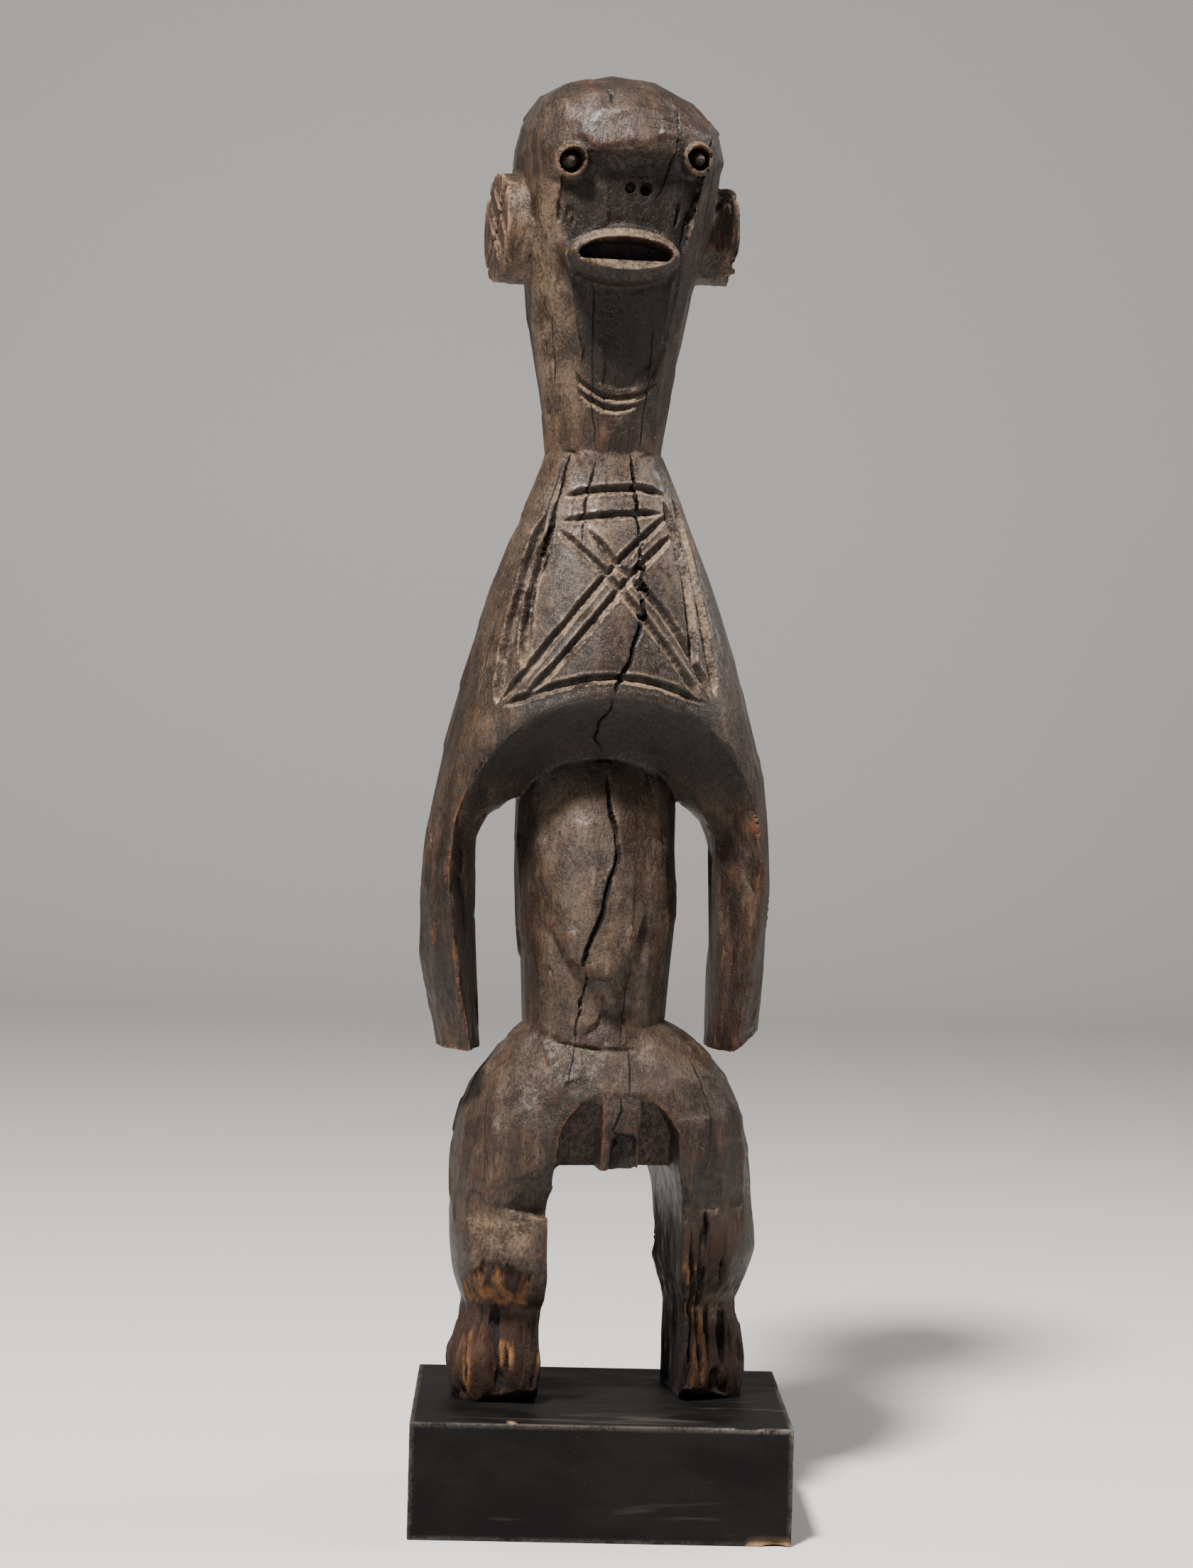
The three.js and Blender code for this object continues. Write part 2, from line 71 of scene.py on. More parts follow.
# Heights of the joints between the carved forms, and middles and half widths of the trunk, legs and arch
NECK_JOINT, HAND_END, HIP_TOP, BROW, CROTCH = 356.0, 132.0, 142.0, 458.0, 90.0
TRUNK_MIDDLE, TRUNK_HALF, LEGS_MIDDLE = -2.0, 38.0, 2.0
ARCH_MIDDLE, ARCH_HALF = (-3.2, 205.0), (58.0, 59.0)

# Cut lines on the chest and throat, as (x, z)
CHEST_LINES = (
    ((-21.5, 338.6), (-14, 340.4), (-4.6, 341.6), (7.7, 342.4), (17.5, 340.6)),
    ((-22.5, 329.6), (-18, 330), (-4.9, 331.9), (5, 332.6), (15.5, 333.6)),
    ((-43.6, 260.4), (-33, 265), (-23.9, 268.2), (-14, 270.6), (-4.6, 271.6), (5, 270.8), (12.8, 269.2),
     (31.2, 263)),
    ((-44, 262.8), (-36.5, 272), (-25, 286.8), (-8.2, 307.6), (3, 319.5), (17.5, 333)),
    ((-36.4, 263.4), (-28, 272.6), (-17.4, 285), (1.2, 307.7), (9, 316), (19, 325.6)),
    ((-13.4, 326.4), (-3.8, 314.6), (5, 306.4), (14.7, 296.3), (24.6, 281.5), (33.6, 265.8)),
    ((-24, 326.4), (-15.6, 318.6), (-8, 311), (5, 296.2), (17, 281), (29, 264.2)),
)
CHEST_SIDES = (
    ((-27.3, 333), (-32.4, 320.2), (-36.5, 305), (-40.6, 290.4), (-43.6, 277.2), (-46, 261)),
    ((-25.2, 329), (-30, 316), (-33.1, 303.7), (-35.4, 289.4), (-36.9, 274.2)),
    ((16.4, 338.4), (20.4, 325), (23.1, 310.8), (25.6, 293), (27.2, 274.4)),
    ((21, 340.2), (25.2, 325), (28.1, 308.4), (32, 287), (35.6, 265.8)),
)
THROAT_LINES = (
    ((-19.6, 385.4), (-17, 381), (-13.6, 378.4), (-8.6, 376), (-3, 375.2), (3, 376.1), (7.5, 378),
     (12.4, 382.4)),
    ((-18.6, 379.8), (-16, 376.4), (-12.8, 374.1), (-8, 371.9), (-3.3, 371.3), (1.4, 372), (6.4, 374)),
)

# Short cuts on the cheeks, as (x, z)
CHEEK_CUTS = (
    ((-28, 446.5), (-27.3, 438)),
    ((-23.1, 445), (-22.8, 436)),
    ((16.6, 449), (15.5, 438)),
    ((22.5, 447.5), (21.1, 437)),
)

# Lines on the outer faces of the ears, beside the cuts that the solid has, as (y, z)
EAR_LINES = (
    ("less", ((17, 449), (-7, 425))),
    ("less", ((9, 458.5), (-15, 434.5))),
    ("more", ((15, 449), (-6, 428))),
)

# The outline of the flat face, and the lower edge of the trunk's front
PANEL_OUTLINE = (
    (-27.6, 468), (-27.6, 441), (-23.4, 421), (-19.8, 404), (-16, 388), (-10.5, 380.6), (-3, 378.6),
    (4.5, 379.6), (10.6, 383.6), (14.4, 393), (18.2, 416), (21.2, 438), (25.4, 456),
)
TRUNK_EDGE = ((-26, 139.6), (-22, 138.2), (-18, 136), (-11, 135), (-4, 134.2), (4, 134.2), (11, 134.6))

# Crisp steps: the points from left to right as seen from the front, the rise above and below, and the reach
LEDGES = (
    (PANEL_OUTLINE, -0.45, 0.2, 9),
    (((-19.5, 461.4), (-13, 464.2), (-7, 462), (-1, 463.8), (5, 461.8), (11, 464.4), (17, 462)),
     0.6, -0.9, 10),
    (TRUNK_EDGE, 0.4, -0.9, 5),
    (((-24.4, 180), (-17.8, 171.4), (-11.5, 165.4), (-8, 162.2), (-4, 159.4)), 1.3, -2.8, 10),
    (((-4, 159.4), (0.6, 160.6), (4, 165.2), (7.4, 173), (12.6, 188)), 1.3, -2.4, 10),
    (((-4.8, 157), (-3, 150.5), (-5, 144), (-10.6, 137.4)), -1.1, 0.9, 7),
    (((3.6, 159), (6, 150), (3.6, 143), (5.6, 137)), 0.4, -0.5, 5),
)

# Long soft ridges between the blade's strokes: the points, the rise and the reach
RIDGES = (
    (((-18.8, 218), (-17.4, 200), (-15.6, 180)), 0.5, 6),
    (((-9.4, 214), (-9, 196), (-8.4, 172)), 0.3, 5),
    (((1.6, 216), (1.9, 195), (1.6, 178), (0.4, 165)), 0.6, 5),
    (((7.4, 212), (6.8, 195), (6, 180), (4, 169)), 0.5, 4),
    (((-18, 166), (-16, 156), (-16.6, 144)), 0.6, 7),
    (((16, 172), (15, 156), (14.4, 142)), 0.5, 6),
    (((-17, 352), (-19, 343), (-20, 336)), 0.35, 5),
    (((-7.6, 330), (-8.4, 318), (-8, 306)), 0.4, 6),
    (((-6, 300), (-6.6, 286), (-7, 273)), 0.45, 6),
    (((-31.6, 330), (-37, 312), (-43, 290)), 0.4, 5),
)

# Drying cracks: the points, the width in the middle and the depth. A point of three numbers is x, y, z.
CRACKS = (
    (((3, 355), (4, 347), (5, 339), (5, 331), (6, 323), (6.4, 315), (6.4, 308), (6.4, 303)), 1.0, 3.6),
    (((6, 323), (6.4, 315), (6.4, 308), (6.4, 303), (6.6, 298), (6, 293), (5, 290), (3, 284), (1, 277),
      (-2, 272), (-4, 269), (-4.4, 265)), 1.6, 4.2),
    (((-5, -41, 264), (-5, -36, 260), (-8, -31, 255), (-8.4, -25, 249), (-4, -20.5, 243)), 0.8, 2.4),
    (((-2.2, 236), (-2, 228), (-1, 220), (0.6, 214), (0.8, 210)), 1.2, 3.4),
    (((-2, 228), (-1, 220), (0.6, 214), (0.8, 210), (0.4, 206), (-0.6, 201), (-2.4, 197)), 1.9, 4.6),
    (((0.4, 206), (-0.6, 201), (-2.4, 197), (-3.4, 192), (-5, 186), (-7, 180), (-9, 176), (-11, 171),
      (-11, 164)), 1.5, 3.4),
    (((-9, 176), (-11, 171), (-11, 164), (-10, 160), (-11.2, 150.5), (-12.4, 142), (-12.8, 136)), 0.7, 1.4),
    (((-19, 355), (-21, 348), (-23, 339), (-24.6, 334), (-26, 326)), 0.9, 3.0),
    (((-23.4, 338), (-24.6, 334), (-25.8, 328), (-26.8, 321), (-27.8, 315)), 2.0, 3.0),
    (((-27.2, 318), (-28.6, 313), (-30, 309.4), (-31.6, 306), (-33.4, 299)), 0.8, 1.8),
    (((-10, 352), (-11, 347), (-13, 341), (-14, 336), (-15, 329), (-16, 321)), 0.6, 1.2),
    (((14.2, 481), (14, 472), (13, 464), (12, 459), (9, 451), (6.6, 446)), 0.6, 1.2),
    (((28.6, 476), (27.6, 468), (26, 461), (24.4, 453), (22.4, 448), (20.8, 443.6)), 0.6, 1.4),
    (((24.4, 453), (22.4, 448), (20.8, 443.6), (19.2, 439), (18.4, 431)), 1.0, 1.8),
    (((-11.4, 487.6), (-10, 485), (-10.6, 481.6)), 1.2, 1.4),
    (((37, 74), (37.4, 67), (36.8, 59)), 1.8, 3.6),
    (((2.6, 117), (3.2, 112), (1, 108), (-0.4, 105), (2, 100), (0, 95.6), (-2.6, 92)), 0.9, 1.0),
)
HAIRLINES = (
    (((-14, 416), (-13.4, 399), (-13, 388), (-12.4, 375), (-10.4, 359)), 0.40),
    (((9.4, 402), (8.8, 391), (8, 380), (7.2, 366), (7, 357)), 0.55),
    (((-28, 406), (-27, 396), (-26, 388), (-25, 380)), 0.45),
    (((19.4, 381), (18.4, 372), (17.6, 362)), 0.40),
    (((22.4, 414), (21.6, 406), (20.6, 399)), 0.40),
    (((30.4, 462), (28.4, 448), (27.6, 436)), 0.35),
    (((-13, 134), (-15, 128), (-17, 120)), 0.40),
    (((7, 134), (6.4, 126), (6, 117)), 0.45),
    (((31, 130), (34.4, 121), (37, 113), (38.2, 100), (36, 90)), 0.50),
    (((5, 157), (5, 149), (4.6, 142), (3.6, 137)), 0.40),
    (((-37, 318), (-44, 296), (-50, 272)), 0.35),
    (((26, 330), (33, 304), (38, 284)), 0.35),
    (((-44, 118), (-46, 104), (-45, 90)), 0.35),
    (((-22, 350), (-28, 330), (-33, 318)), 0.30),
    (((2, 480.4), (8, 480), (13.4, 479.6)), 0.30),
    (((3, 476.6), (9, 476.4), (13, 475.8)), 0.25),
    (((1, 473.2), (7, 473), (12, 472.6)), 0.30),
)
BACK_CRACKS = (
    (((-9, 486), (-8, 470), (-9.4, 452), (-8.6, 436)), 0.9, 2.0),
    (((14, 336), (16.6, 318), (17, 300), (19.4, 282), (19, 268)), 1.0, 2.2),
    (((-8, 226), (-9.4, 204), (-8.4, 182), (-10, 160)), 1.1, 2.4),
    (((-36, 66), (-37, 44), (-35.6, 20)), 0.9, 1.8),
)
BACK_HAIRLINES = (
    (((12, 424), (11.4, 404), (10, 384), (10.4, 366)), 0.45),
    (((-22, 310), (-24.6, 294), (-25, 274), (-27, 256)), 0.5),
    (((24, 116), (27, 102), (28, 86)), 0.45),
    (((-20, 420), (-19, 396), (-17, 372)), 0.35),
    (((24, 250), (26, 226), (25, 204)), 0.4),
)

# Where the feet have split into long splinters: the points, the width and the depth
SPLITS = (
    (((-39.4, 37), (-38.6, 24), (-37.8, 13), (-37, 2)), 6.5, 2.8),
    (((-30, 30), (-29, 18), (-29.6, 6)), 2.4, 1.3),
    (((-24.6, 32), (-24.4, 18), (-25.4, 5)), 2.0, 1.2),
    (((-49, 26), (-50.4, 15), (-49, 6)), 2.6, 1.3),
    (((31.4, 68), (31.6, 56), (33.4, 44), (34, 28), (35, 8)), 2.0, 2.2),
    (((36.2, 54), (36.4, 40), (38, 22), (40, 8)), 2.4, 2.4),
    (((40.6, 36), (42, 24), (43.6, 10)), 2.4, 2.2),
    (((44.8, 57), (44.4, 50), (44.6, 44)), 2.6, 2.4),
    (((47.6, 34), (47.4, 24), (48.6, 12)), 3.0, 2.4),
)

# Blade marks: the form, then their size, how much longer than wide they are, how far they go, and a seed
FACETS = (
    ("dome", 11, 1.0, 0.85, 1),
    ("neck", 9, 3.8, 0.9, 2),
    ("shell", 11, 4.4, 0.9, 3),
    ("trunk", 8, 4.5, 0.9, 4),
    ("hips", 11, 1.0, 1.4, 5),
)
SECOND_FACETS = (("shell", 7, 2.6, 0.5, 6), ("arms", 9, 4.0, 0.6, 7))
FACET_TRIES, FACET_DEEPEST, FACET_PROUDEST = 9000, 1.3, 0.8

# Tools for the cut lines: width, depth, how steep the walls are, and the length of the tapering ends
CHEST_TOOL, SIDE_TOOL = (3.8, 2.1, 1.3, 7), (4.5, 2.8, 1.2, 7)
THROAT_TOOL, CHEEK_TOOL, EAR_TOOL = (3.2, 1.4, 1.2, 8), (1.9, 1.2, 1.3, 3), (2.6, 1.2, 1.1, 6)

# The face, as x and z: eyes, nostrils with their depth, and mouth, with its rim's and its hole's half sizes
EYES = ((-24.6, 460.2), (22.6, 463.2))
PUPIL_BED, PUPIL_RISE, PUPIL_RADIUS = -33.2, 6.6, 3.4
NOSTRILS = ((-2.2, 451.6, 2.8), (3.6, 451.2, 5.0))
MOUTH = (-5.0, 426.0)
MOUTH_RIM, MOUTH_HOLE, MOUTH_REACH = (20.6, 9.6), (17.6, 5.8), (21.0, 10.0)

# How far forward the trunk's lower edge stands: x, and y at each
LOBE_EDGE = ((-28, -26, -18, -11, -6.5, 2.6, 12), (-11, -14.1, -23.9, -26.7, -28, -28.2, -26))

# The block: how far along the edge its corner is broken, in millimetres, and its mesh's cells in metres
CORNER_REACH, BLOCK_CELL = 6, 0.0022

CRACK_COLOUR = (0.004, 0.003, 0.002, 1)
SHARP_ANGLE = math.radians(42)


# Numbers and noise

def step(low, high, value):
    """Rises smoothly from 0 at low to 1 at high, or falls where high is under low."""
    t = np.clip((value - low) / (high - low), 0, 1)
    return t * t * (3 - 2 * t)


def bump(centre, width, value):
    """1 at the centre, fading to 0 at width on both sides."""
    return step(width, 0, np.abs(value - centre))


def span(value, start, full, last, end):
    """0 before start and past end, and 1 from full to last."""
    return step(start, full, value) * step(end, last, value)


def oval(x, z, middle, half):
    """How far out from the middle of an oval each point is, with 1 on the oval itself."""
    return np.hypot((x - middle[0]) / half[0], (z - middle[1]) / half[1])


def dice(cells, seed):
    """A repeatable number from 0 to 1 for each whole-numbered cell."""
    x, y, z = (cells[:, k] for k in range(3))
    mixed = (x * 374761393 + y * 668265263 + z * 1274126177 + seed * 362437) & 0xFFFFFFFF
    mixed = ((mixed ^ (mixed >> 13)) * 1103515245) & 0xFFFFFFFF
    return (mixed ^ (mixed >> 16)) / 0xFFFFFFFF


def noise(points, size, seed=0):
    """Smooth noise from -1 to 1. The size of its lumps is one number or one for each axis."""
    scaled = points / np.asarray(size, float) + 4096
    cell = np.floor(scaled).astype(np.int64)
    t = scaled - cell
    t = t * t * (3 - 2 * t)
    total = np.zeros(len(points))
    for corner in itertools.product((0, 1), repeat=3):
        weight = np.prod(np.where(corner, t, 1 - t), axis=1)
        total += weight * dice(cell + np.array(corner), SEED + seed)
    return total * 2 - 1


def rough(points, size, octaves=3, seed=0):
    """Noise with finer noise on it."""
    size = np.asarray(size, float)
    layers = [noise(points, size / 2**k, seed + 31 * k) / 2**k for k in range(octaves)]
    return sum(layers) / (2 - 0.5 ** (octaves - 1))


# The surface while it is being cut

class Surface:
    """A closed triangle surface in the figure's own frame."""

    def __init__(self, points, faces):
        self.points, self.faces = points, faces
        sides = np.vstack([faces[:, [0, 1]], faces[:, [1, 2]], faces[:, [2, 0]]])
        self.start, self.end = sides.T
        self.valence = np.bincount(self.start, minlength=len(points))
        self.refresh()

    def refresh(self):
        """Works the normals out again."""
        a, b, c = (self.points[self.faces[:, k]] for k in range(3))
        flat = np.cross(b - a, c - a)
        total = np.zeros_like(self.points)
        for k, axis in itertools.product(range(3), range(3)):
            total[:, axis] += np.bincount(self.faces[:, k], flat[:, axis], len(total))
        self.normals = total / np.maximum(np.linalg.norm(total, axis=1), 1e-12)[:, None]

    def around(self, values):
        """The mean of each point's neighbours."""
        columns = values.reshape(len(values), -1).T
        means = [np.bincount(self.start, column[self.end], len(values)) / self.valence for column in columns]
        return np.stack(means, 1).reshape(values.shape)

    def blurred(self, values, rounds):
        """The values, evened out over more of the surface with each round."""
        for _ in range(rounds):
            values = (values + self.around(values)) / 2
        return values

    def smooth(self, weight, rounds):
        """Takes the corners off where the weight is 1 and leaves the surface alone where it is 0."""
        for _ in range(rounds):
            self.points = self.points + (0.6 * weight)[:, None] * (self.around(self.points) - self.points)
        self.refresh()

    def push(self, amount):
        """Moves each point out by its amount, or in where that is negative."""
        self.points = self.points + self.normals * amount[:, None]
        self.refresh()

    def crispness(self):
        """0 on flat and softly rounded places and towards 1 at a hard edge."""
        mean = self.normals
        for _ in range(8):
            mean = self.around(mean)
        return 1 - np.linalg.norm(mean, axis=1)


def own_frame(points):
    """World metres to the figure's own millimetres."""
    moved = points / MM - STAND
    cos, sin = math.cos(TURN), math.sin(TURN)
    x, y, z = moved.T
    return np.stack([x * cos + y * sin, y * cos - x * sin, z], 1)


def world_frame(points):
    """The figure's own millimetres to world metres."""
    cos, sin = math.cos(TURN), math.sin(TURN)
    x, y, z = points.T
    return (np.stack([x * cos - y * sin, x * sin + y * cos, z], 1) + STAND) * MM


def mesh_arrays(mesh):
    """The points and triangles of a mesh."""
    mesh.calc_loop_triangles()
    points = np.empty(len(mesh.vertices) * 3)
    mesh.vertices.foreach_get("co", points)
    faces = np.empty(len(mesh.loop_triangles) * 3, np.int32)
    mesh.loop_triangles.foreach_get("vertices", faces)
    return points.reshape(-1, 3), faces.reshape(-1, 3).astype(np.int64)


def mesh_from(name, points, faces):
    """A mesh of points and triangles."""
    mesh = bpy.data.meshes.new(name)
    mesh.from_pydata(points.tolist(), [], faces.tolist())
    mesh.update()
    return mesh


def with_modifier(mesh, kind, where=None, **settings):
    """The mesh after one modifier, which works only on the points marked by where, if that is given."""
    holder = bpy.data.objects.new("holder", mesh)
    bpy.context.collection.objects.link(holder)
    if where is not None:
        chosen = holder.vertex_groups.new(name="chosen")
        chosen.add(np.flatnonzero(where).tolist(), 1.0, "REPLACE")
        settings["vertex_group"] = chosen.name
    modifier = holder.modifiers.new(kind.title(), kind)
    for key, value in settings.items():
        setattr(modifier, key, value)
    shown = holder.evaluated_get(bpy.context.evaluated_depsgraph_get())
    made = bpy.data.meshes.new_from_object(shown)
    bpy.data.objects.remove(holder)
    return made


# The sides that a line can be found from, as directions outwards
SIDES = {"front": (0, -1, 0), "back": (0, 1, 0), "less": (-1, 0, 0), "more": (1, 0, 0)}


class Lines:
    """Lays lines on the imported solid."""

    def __init__(self):
        points, faces = mesh_arrays(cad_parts["figure"].data)
        self.tree = BVHTree.FromPolygons(own_frame(points).tolist(), faces.tolist())

    def on_solid(self, across, z, side):
        """The point of the solid that is seen first from a side."""
        out = Vector(SIDES[side])
        start = Vector((abs(out.y) * across, abs(out.x) * across, z)) + 200 * out
        hit = self.tree.ray_cast(start, -out)[0]
        if hit is None:
            raise RuntimeError(f"no surface at {across}, {z} from {side}")
        return tuple(hit)

    def laid(self, points, side="front", spacing=2.0):
        """A line on the surface through (across, height) points seen from a side, with its dips evened."""
        line = []
        for a, b in zip(points, points[1:]):
            steps = max(1, round(math.dist(a, b) / spacing))
            for k in range(steps):
                line.append([p + (q - p) * k / steps for p, q in zip(a, b)])
        line.append(list(points[-1]))
        line = np.array([p if len(p) == 3 else self.on_solid(*p, side) for p in line])
        depth = 1 if SIDES[side][1] else 0
        for _ in range(8):
            line[1:-1, depth] += (line[:-2, depth] + line[2:, depth] - 2 * line[1:-1, depth]) / 4
        return line

    def wandering(self, points, side):
        """A laid line that shifts a little from side to side, as a crack does."""
        line = self.laid(points, side)
        line[:, 0] += 0.5 * noise(line, 4, 50)
        return line


def measure(line, points, normals, reach):
    """For the points near a line: which they are, how far across and along it, and on which side."""
    low, high = line.min(0) - reach, line.max(0) + reach
    near = np.flatnonzero(((points > low) & (points < high)).all(1))
    spot, out = points[near], normals[near]
    best = np.full(len(near), 1e9)
    side, along = np.zeros(len(near)), np.zeros(len(near))
    lengths = np.linalg.norm(np.diff(line, axis=0), axis=1)
    done = 0.0
    for a, b, length in zip(line, line[1:], lengths):
        direction = (b - a) / length
        t = np.clip((spot - a) @ direction, 0, length)
        away = spot - a - t[:, None] * direction
        lift = (away * out).sum(1)
        flat = np.sqrt(np.maximum((away**2).sum(1) - lift**2, 0)) + np.maximum(np.abs(lift) - 5, 0)
        closer = flat < best
        best = np.where(closer, flat, best)
        turn = (np.cross(direction, away) * out).sum(1)
        side = np.where(closer, np.sign(turn), side)
        along = np.where(closer, done + t, along)
        done += length
    return near, best, along, side, done


def width_along(along, total, width, taper, seed, uneven=0.3):
    """Half the width of a cut, uneven along its length and closing at its ends."""
    wobble = 1 + uneven * noise(np.stack([along, along * 0, along * 0], 1), 5.0, seed)
    ends = np.minimum(along, total - along) / taper
    return 0.5 * width * wobble * np.clip(ends, 0, 1) ** 0.6


# Carving

def facets(surface, where, size, stretch, bite, seed):
    """Flat cuts of a blade: each is a plane laid over the patch of surface around a spread-out spot."""
    rng = np.random.default_rng(SEED + seed)
    inside = np.flatnonzero(where > 0.02)
    points, normals = surface.points[inside], surface.normals[inside]
    metric = np.array([1, 1, 1 / stretch]) / size
    scaled = np.hstack([points * metric, 1.1 * normals]).astype(np.float32)
    spots = np.empty((0, 6), np.float32)
    for k in rng.permutation(len(inside))[:FACET_TRIES]:
        if len(spots) == 0 or ((spots - scaled[k]) ** 2).sum(1).min() > 1:
            spots = np.vstack([spots, scaled[k]])
    first, second, lead = nearest_two(scaled, spots)
    count = np.bincount(first, minlength=len(spots)).clip(1)[:, None]

    def mean(values):
        return np.stack([np.bincount(first, v, len(spots)) for v in values.T], 1) / count

    middle, facing = mean(points), mean(normals)
    facing += rng.normal(0, 0.03, facing.shape)
    facing /= np.linalg.norm(facing, axis=1)[:, None]

    def height(patch):
        lift = ((middle[patch] - points) * facing[patch]).sum(1)
        return lift / np.maximum((normals * facing[patch]).sum(1), 0.5)

    own = 0.5 + 0.5 * np.clip(lead / 0.07, 0, 1)
    flat = own * height(first) + (1 - own) * height(second)
    flat *= step(2.6, 1.4, np.abs(flat))
    amount = np.zeros(len(surface.points))
    amount[inside] = np.clip(flat * bite, -FACET_DEEPEST, FACET_PROUDEST) * where[inside]
    return amount


def nearest_two(points, spots):
    """The nearest and second nearest spot of each point, and by how much the nearest is nearer."""
    first, second, lead = [], [], []
    for chunk in np.array_split(points, max(1, len(points) // 20000)):
        away = ((chunk**2).sum(1)[:, None] + (spots**2).sum(1) - 2 * chunk @ spots.T).clip(0)
        two = np.argpartition(away, 1, axis=1)[:, :2]
        reach = np.sqrt(np.take_along_axis(away, two, 1))
        swap = reach[:, 0] > reach[:, 1]
        two[swap] = two[swap][:, ::-1]
        first.append(two[:, 0])
        second.append(two[:, 1])
        lead.append(np.abs(reach[:, 1] - reach[:, 0]))
    return np.concatenate(first), np.concatenate(second), np.concatenate(lead)


def engrave(surface, cuts, lip=0.0, torn=0.0, uneven=0.3):
    """Cuts lines into the surface together. A wall of 1 gives a V, and a higher one a flatter floor."""
    deep, raised = np.zeros(len(surface.points)), np.zeros(len(surface.points))
    for line, width, depth, wall, taper, seed in cuts:
        near, across, along, _, total = measure(line, surface.points, surface.normals, width / 2 + 2)
        half = np.maximum(width_along(along, total, width, taper, seed, uneven), 1e-3)
        ends = np.clip(2 * half / width, 0, 1)
        deep[near] = np.maximum(deep[near], depth * ends * np.clip((1 - across / half) * wall, 0, 1))
        raised[near] = np.maximum(raised[near], lip * ends * np.exp(-(((across - half) / 0.7) ** 2)))
    if torn:
        deep *= 1 + torn * noise(surface.points, 1.3, 201)
    surface.push(np.where(deep > 0, -deep, raised))
    return np.clip(deep + 3 * raised, 0, 1)


def raise_beside(surface, line, left, right, reach):
    """Raises the surface by different amounts to the left and the right of a line, fading out from it."""
    near, across, along, side, total = measure(line, surface.points, surface.normals, reach)
    ends = np.clip(np.minimum(along, total - along) / 5, 0, 1)
    amount = np.zeros(len(surface.points))
    share = step(reach, 0, across) * ends
    if left != right:
        share = share * np.clip(across / 0.35, 0, 1)
    amount[near] = np.where(side > 0, left, right) * share
    return amount


def regions(points, normals):
    """Which part of the log each point belongs to, as weights from 0 to 1."""
    x, y, z = points.T
    across = np.abs(x - TRUNK_MIDDLE)
    off_trunk = step(TRUNK_HALF - 4, TRUNK_HALF + 1, across)
    outside = step(-2, 6, normals[:, 0] * x + normals[:, 1] * y)
    below_arch = step(268, 262, z)
    ear = step(39.5, 42, np.abs(x)) * span(z, 408, 414, 462, 470)
    mouth = step(1.35, 1.1, oval(x, z, MOUTH, MOUTH_REACH)) * step(-20, -27, y)
    eye = sum(step(10, 8, np.hypot(x - ex, z - ez)) for ex, ez in EYES) * step(0, -8, y)
    loin = step(23, 20, np.abs(x - 1)) * span(z, 82, 88, 116.5, 119) * step(-10, -20, y)
    features = np.clip(ear + mouth + eye + loin, 0, 1)
    head = step(NECK_JOINT - 0.6, NECK_JOINT + 0.6, z)
    mantle = step(NECK_JOINT + 0.6, NECK_JOINT - 0.6, z) * step(HAND_END - 2, HAND_END, z)
    hips = step(HIP_TOP, HIP_TOP - 5, z) * (1 - step(46, 52, across) * step(HAND_END - 1, HAND_END, z))
    return {
        "features": features,
        "ear": ear,
        "dome": step(BROW - 6, BROW + 4, z) * (1 - features),
        "neck": head * step(BROW + 2, BROW - 8, z) * (1 - features),
        "shell": mantle * np.maximum(off_trunk, 1 - below_arch) * outside,
        "arms": mantle * off_trunk * below_arch,
        "trunk": (1 - off_trunk) * span(z, HIP_TOP - 4, HIP_TOP, 236, 262),
        "hips": hips * (1 - loin),
        "legs": step(CROTCH + 4, CROTCH - 6, z),
    }


def facing_gap(surface, x):
    """How squarely each point faces the gap between the legs."""
    return -surface.normals[:, 0] * np.sign(x - LEGS_MIDDLE)


def soften(surface):
    """Takes the flat sides of the solid away and keeps its hard edges, then wipes its cut lines."""
    x, y, z = surface.points.T
    soft = step(0.06, 0.025, surface.crispness())
    keep = regions(surface.points, surface.normals)["features"]
    surface.smooth(soft * (1 - keep), 26)
    clear_of_arch = step(1.02, 1.07, oval(x, z, ARCH_MIDDLE, ARCH_HALF))
    chest = span(z, 258, 262, 346, 352) * step(-6, -12, y) * step(52, 46, np.abs(x + 4)) * clear_of_arch
    throat = span(z, 364, 368, 387, 392) * step(-8, -14, y) * step(26, 20, np.abs(x + 4))
    leaf = span(z, 137, 142, 192, 204) * step(-8, -14, y) * step(26, 21, np.abs(x))
    surface.smooth(np.maximum.reduce([chest, throat, leaf]), 60)
    legs = span(np.abs(x - LEGS_MIDDLE), 16, 19, 29, 33) * span(z, 50, 58, 116, 124)
    surface.smooth(legs * step(0.2, 0.5, facing_gap(surface, x)), 80)
    surface.smooth(np.full(len(surface.points), 0.5), 1)


def cut_facets(surface):
    """The marks that the blade left: round ones on the dome and hips, long upright ones on the rest."""
    x, y, z = surface.points.T
    front = step(0, -10, y)
    chest = front * span(z, 256, 264, 346, 354) * step(50, 42, np.abs(x + 4))
    inward = step(31, 27, np.abs(x - LEGS_MIDDLE)) * step(122, 116, z)
    inward *= step(0.35, 0.6, facing_gap(surface, x))
    flat = step(0.10, 0.04, surface.crispness())
    part = {name: weight * flat for name, weight in regions(surface.points, surface.normals).items()}
    part["shell"] *= 1 - 0.6 * chest
    part["trunk"] *= 1 - 0.3 * front
    part["hips"] *= step(58, 80, z) * (1 - inward)
    surface.push(sum(facets(surface, part[name], *blade) for name, *blade in FACETS))
    part = regions(surface.points, surface.normals)
    part["arms"] *= 1 - part["shell"]
    part["shell"] *= 1 - 0.7 * chest
    surface.push(sum(facets(surface, part[name], *blade) for name, *blade in SECOND_FACETS))


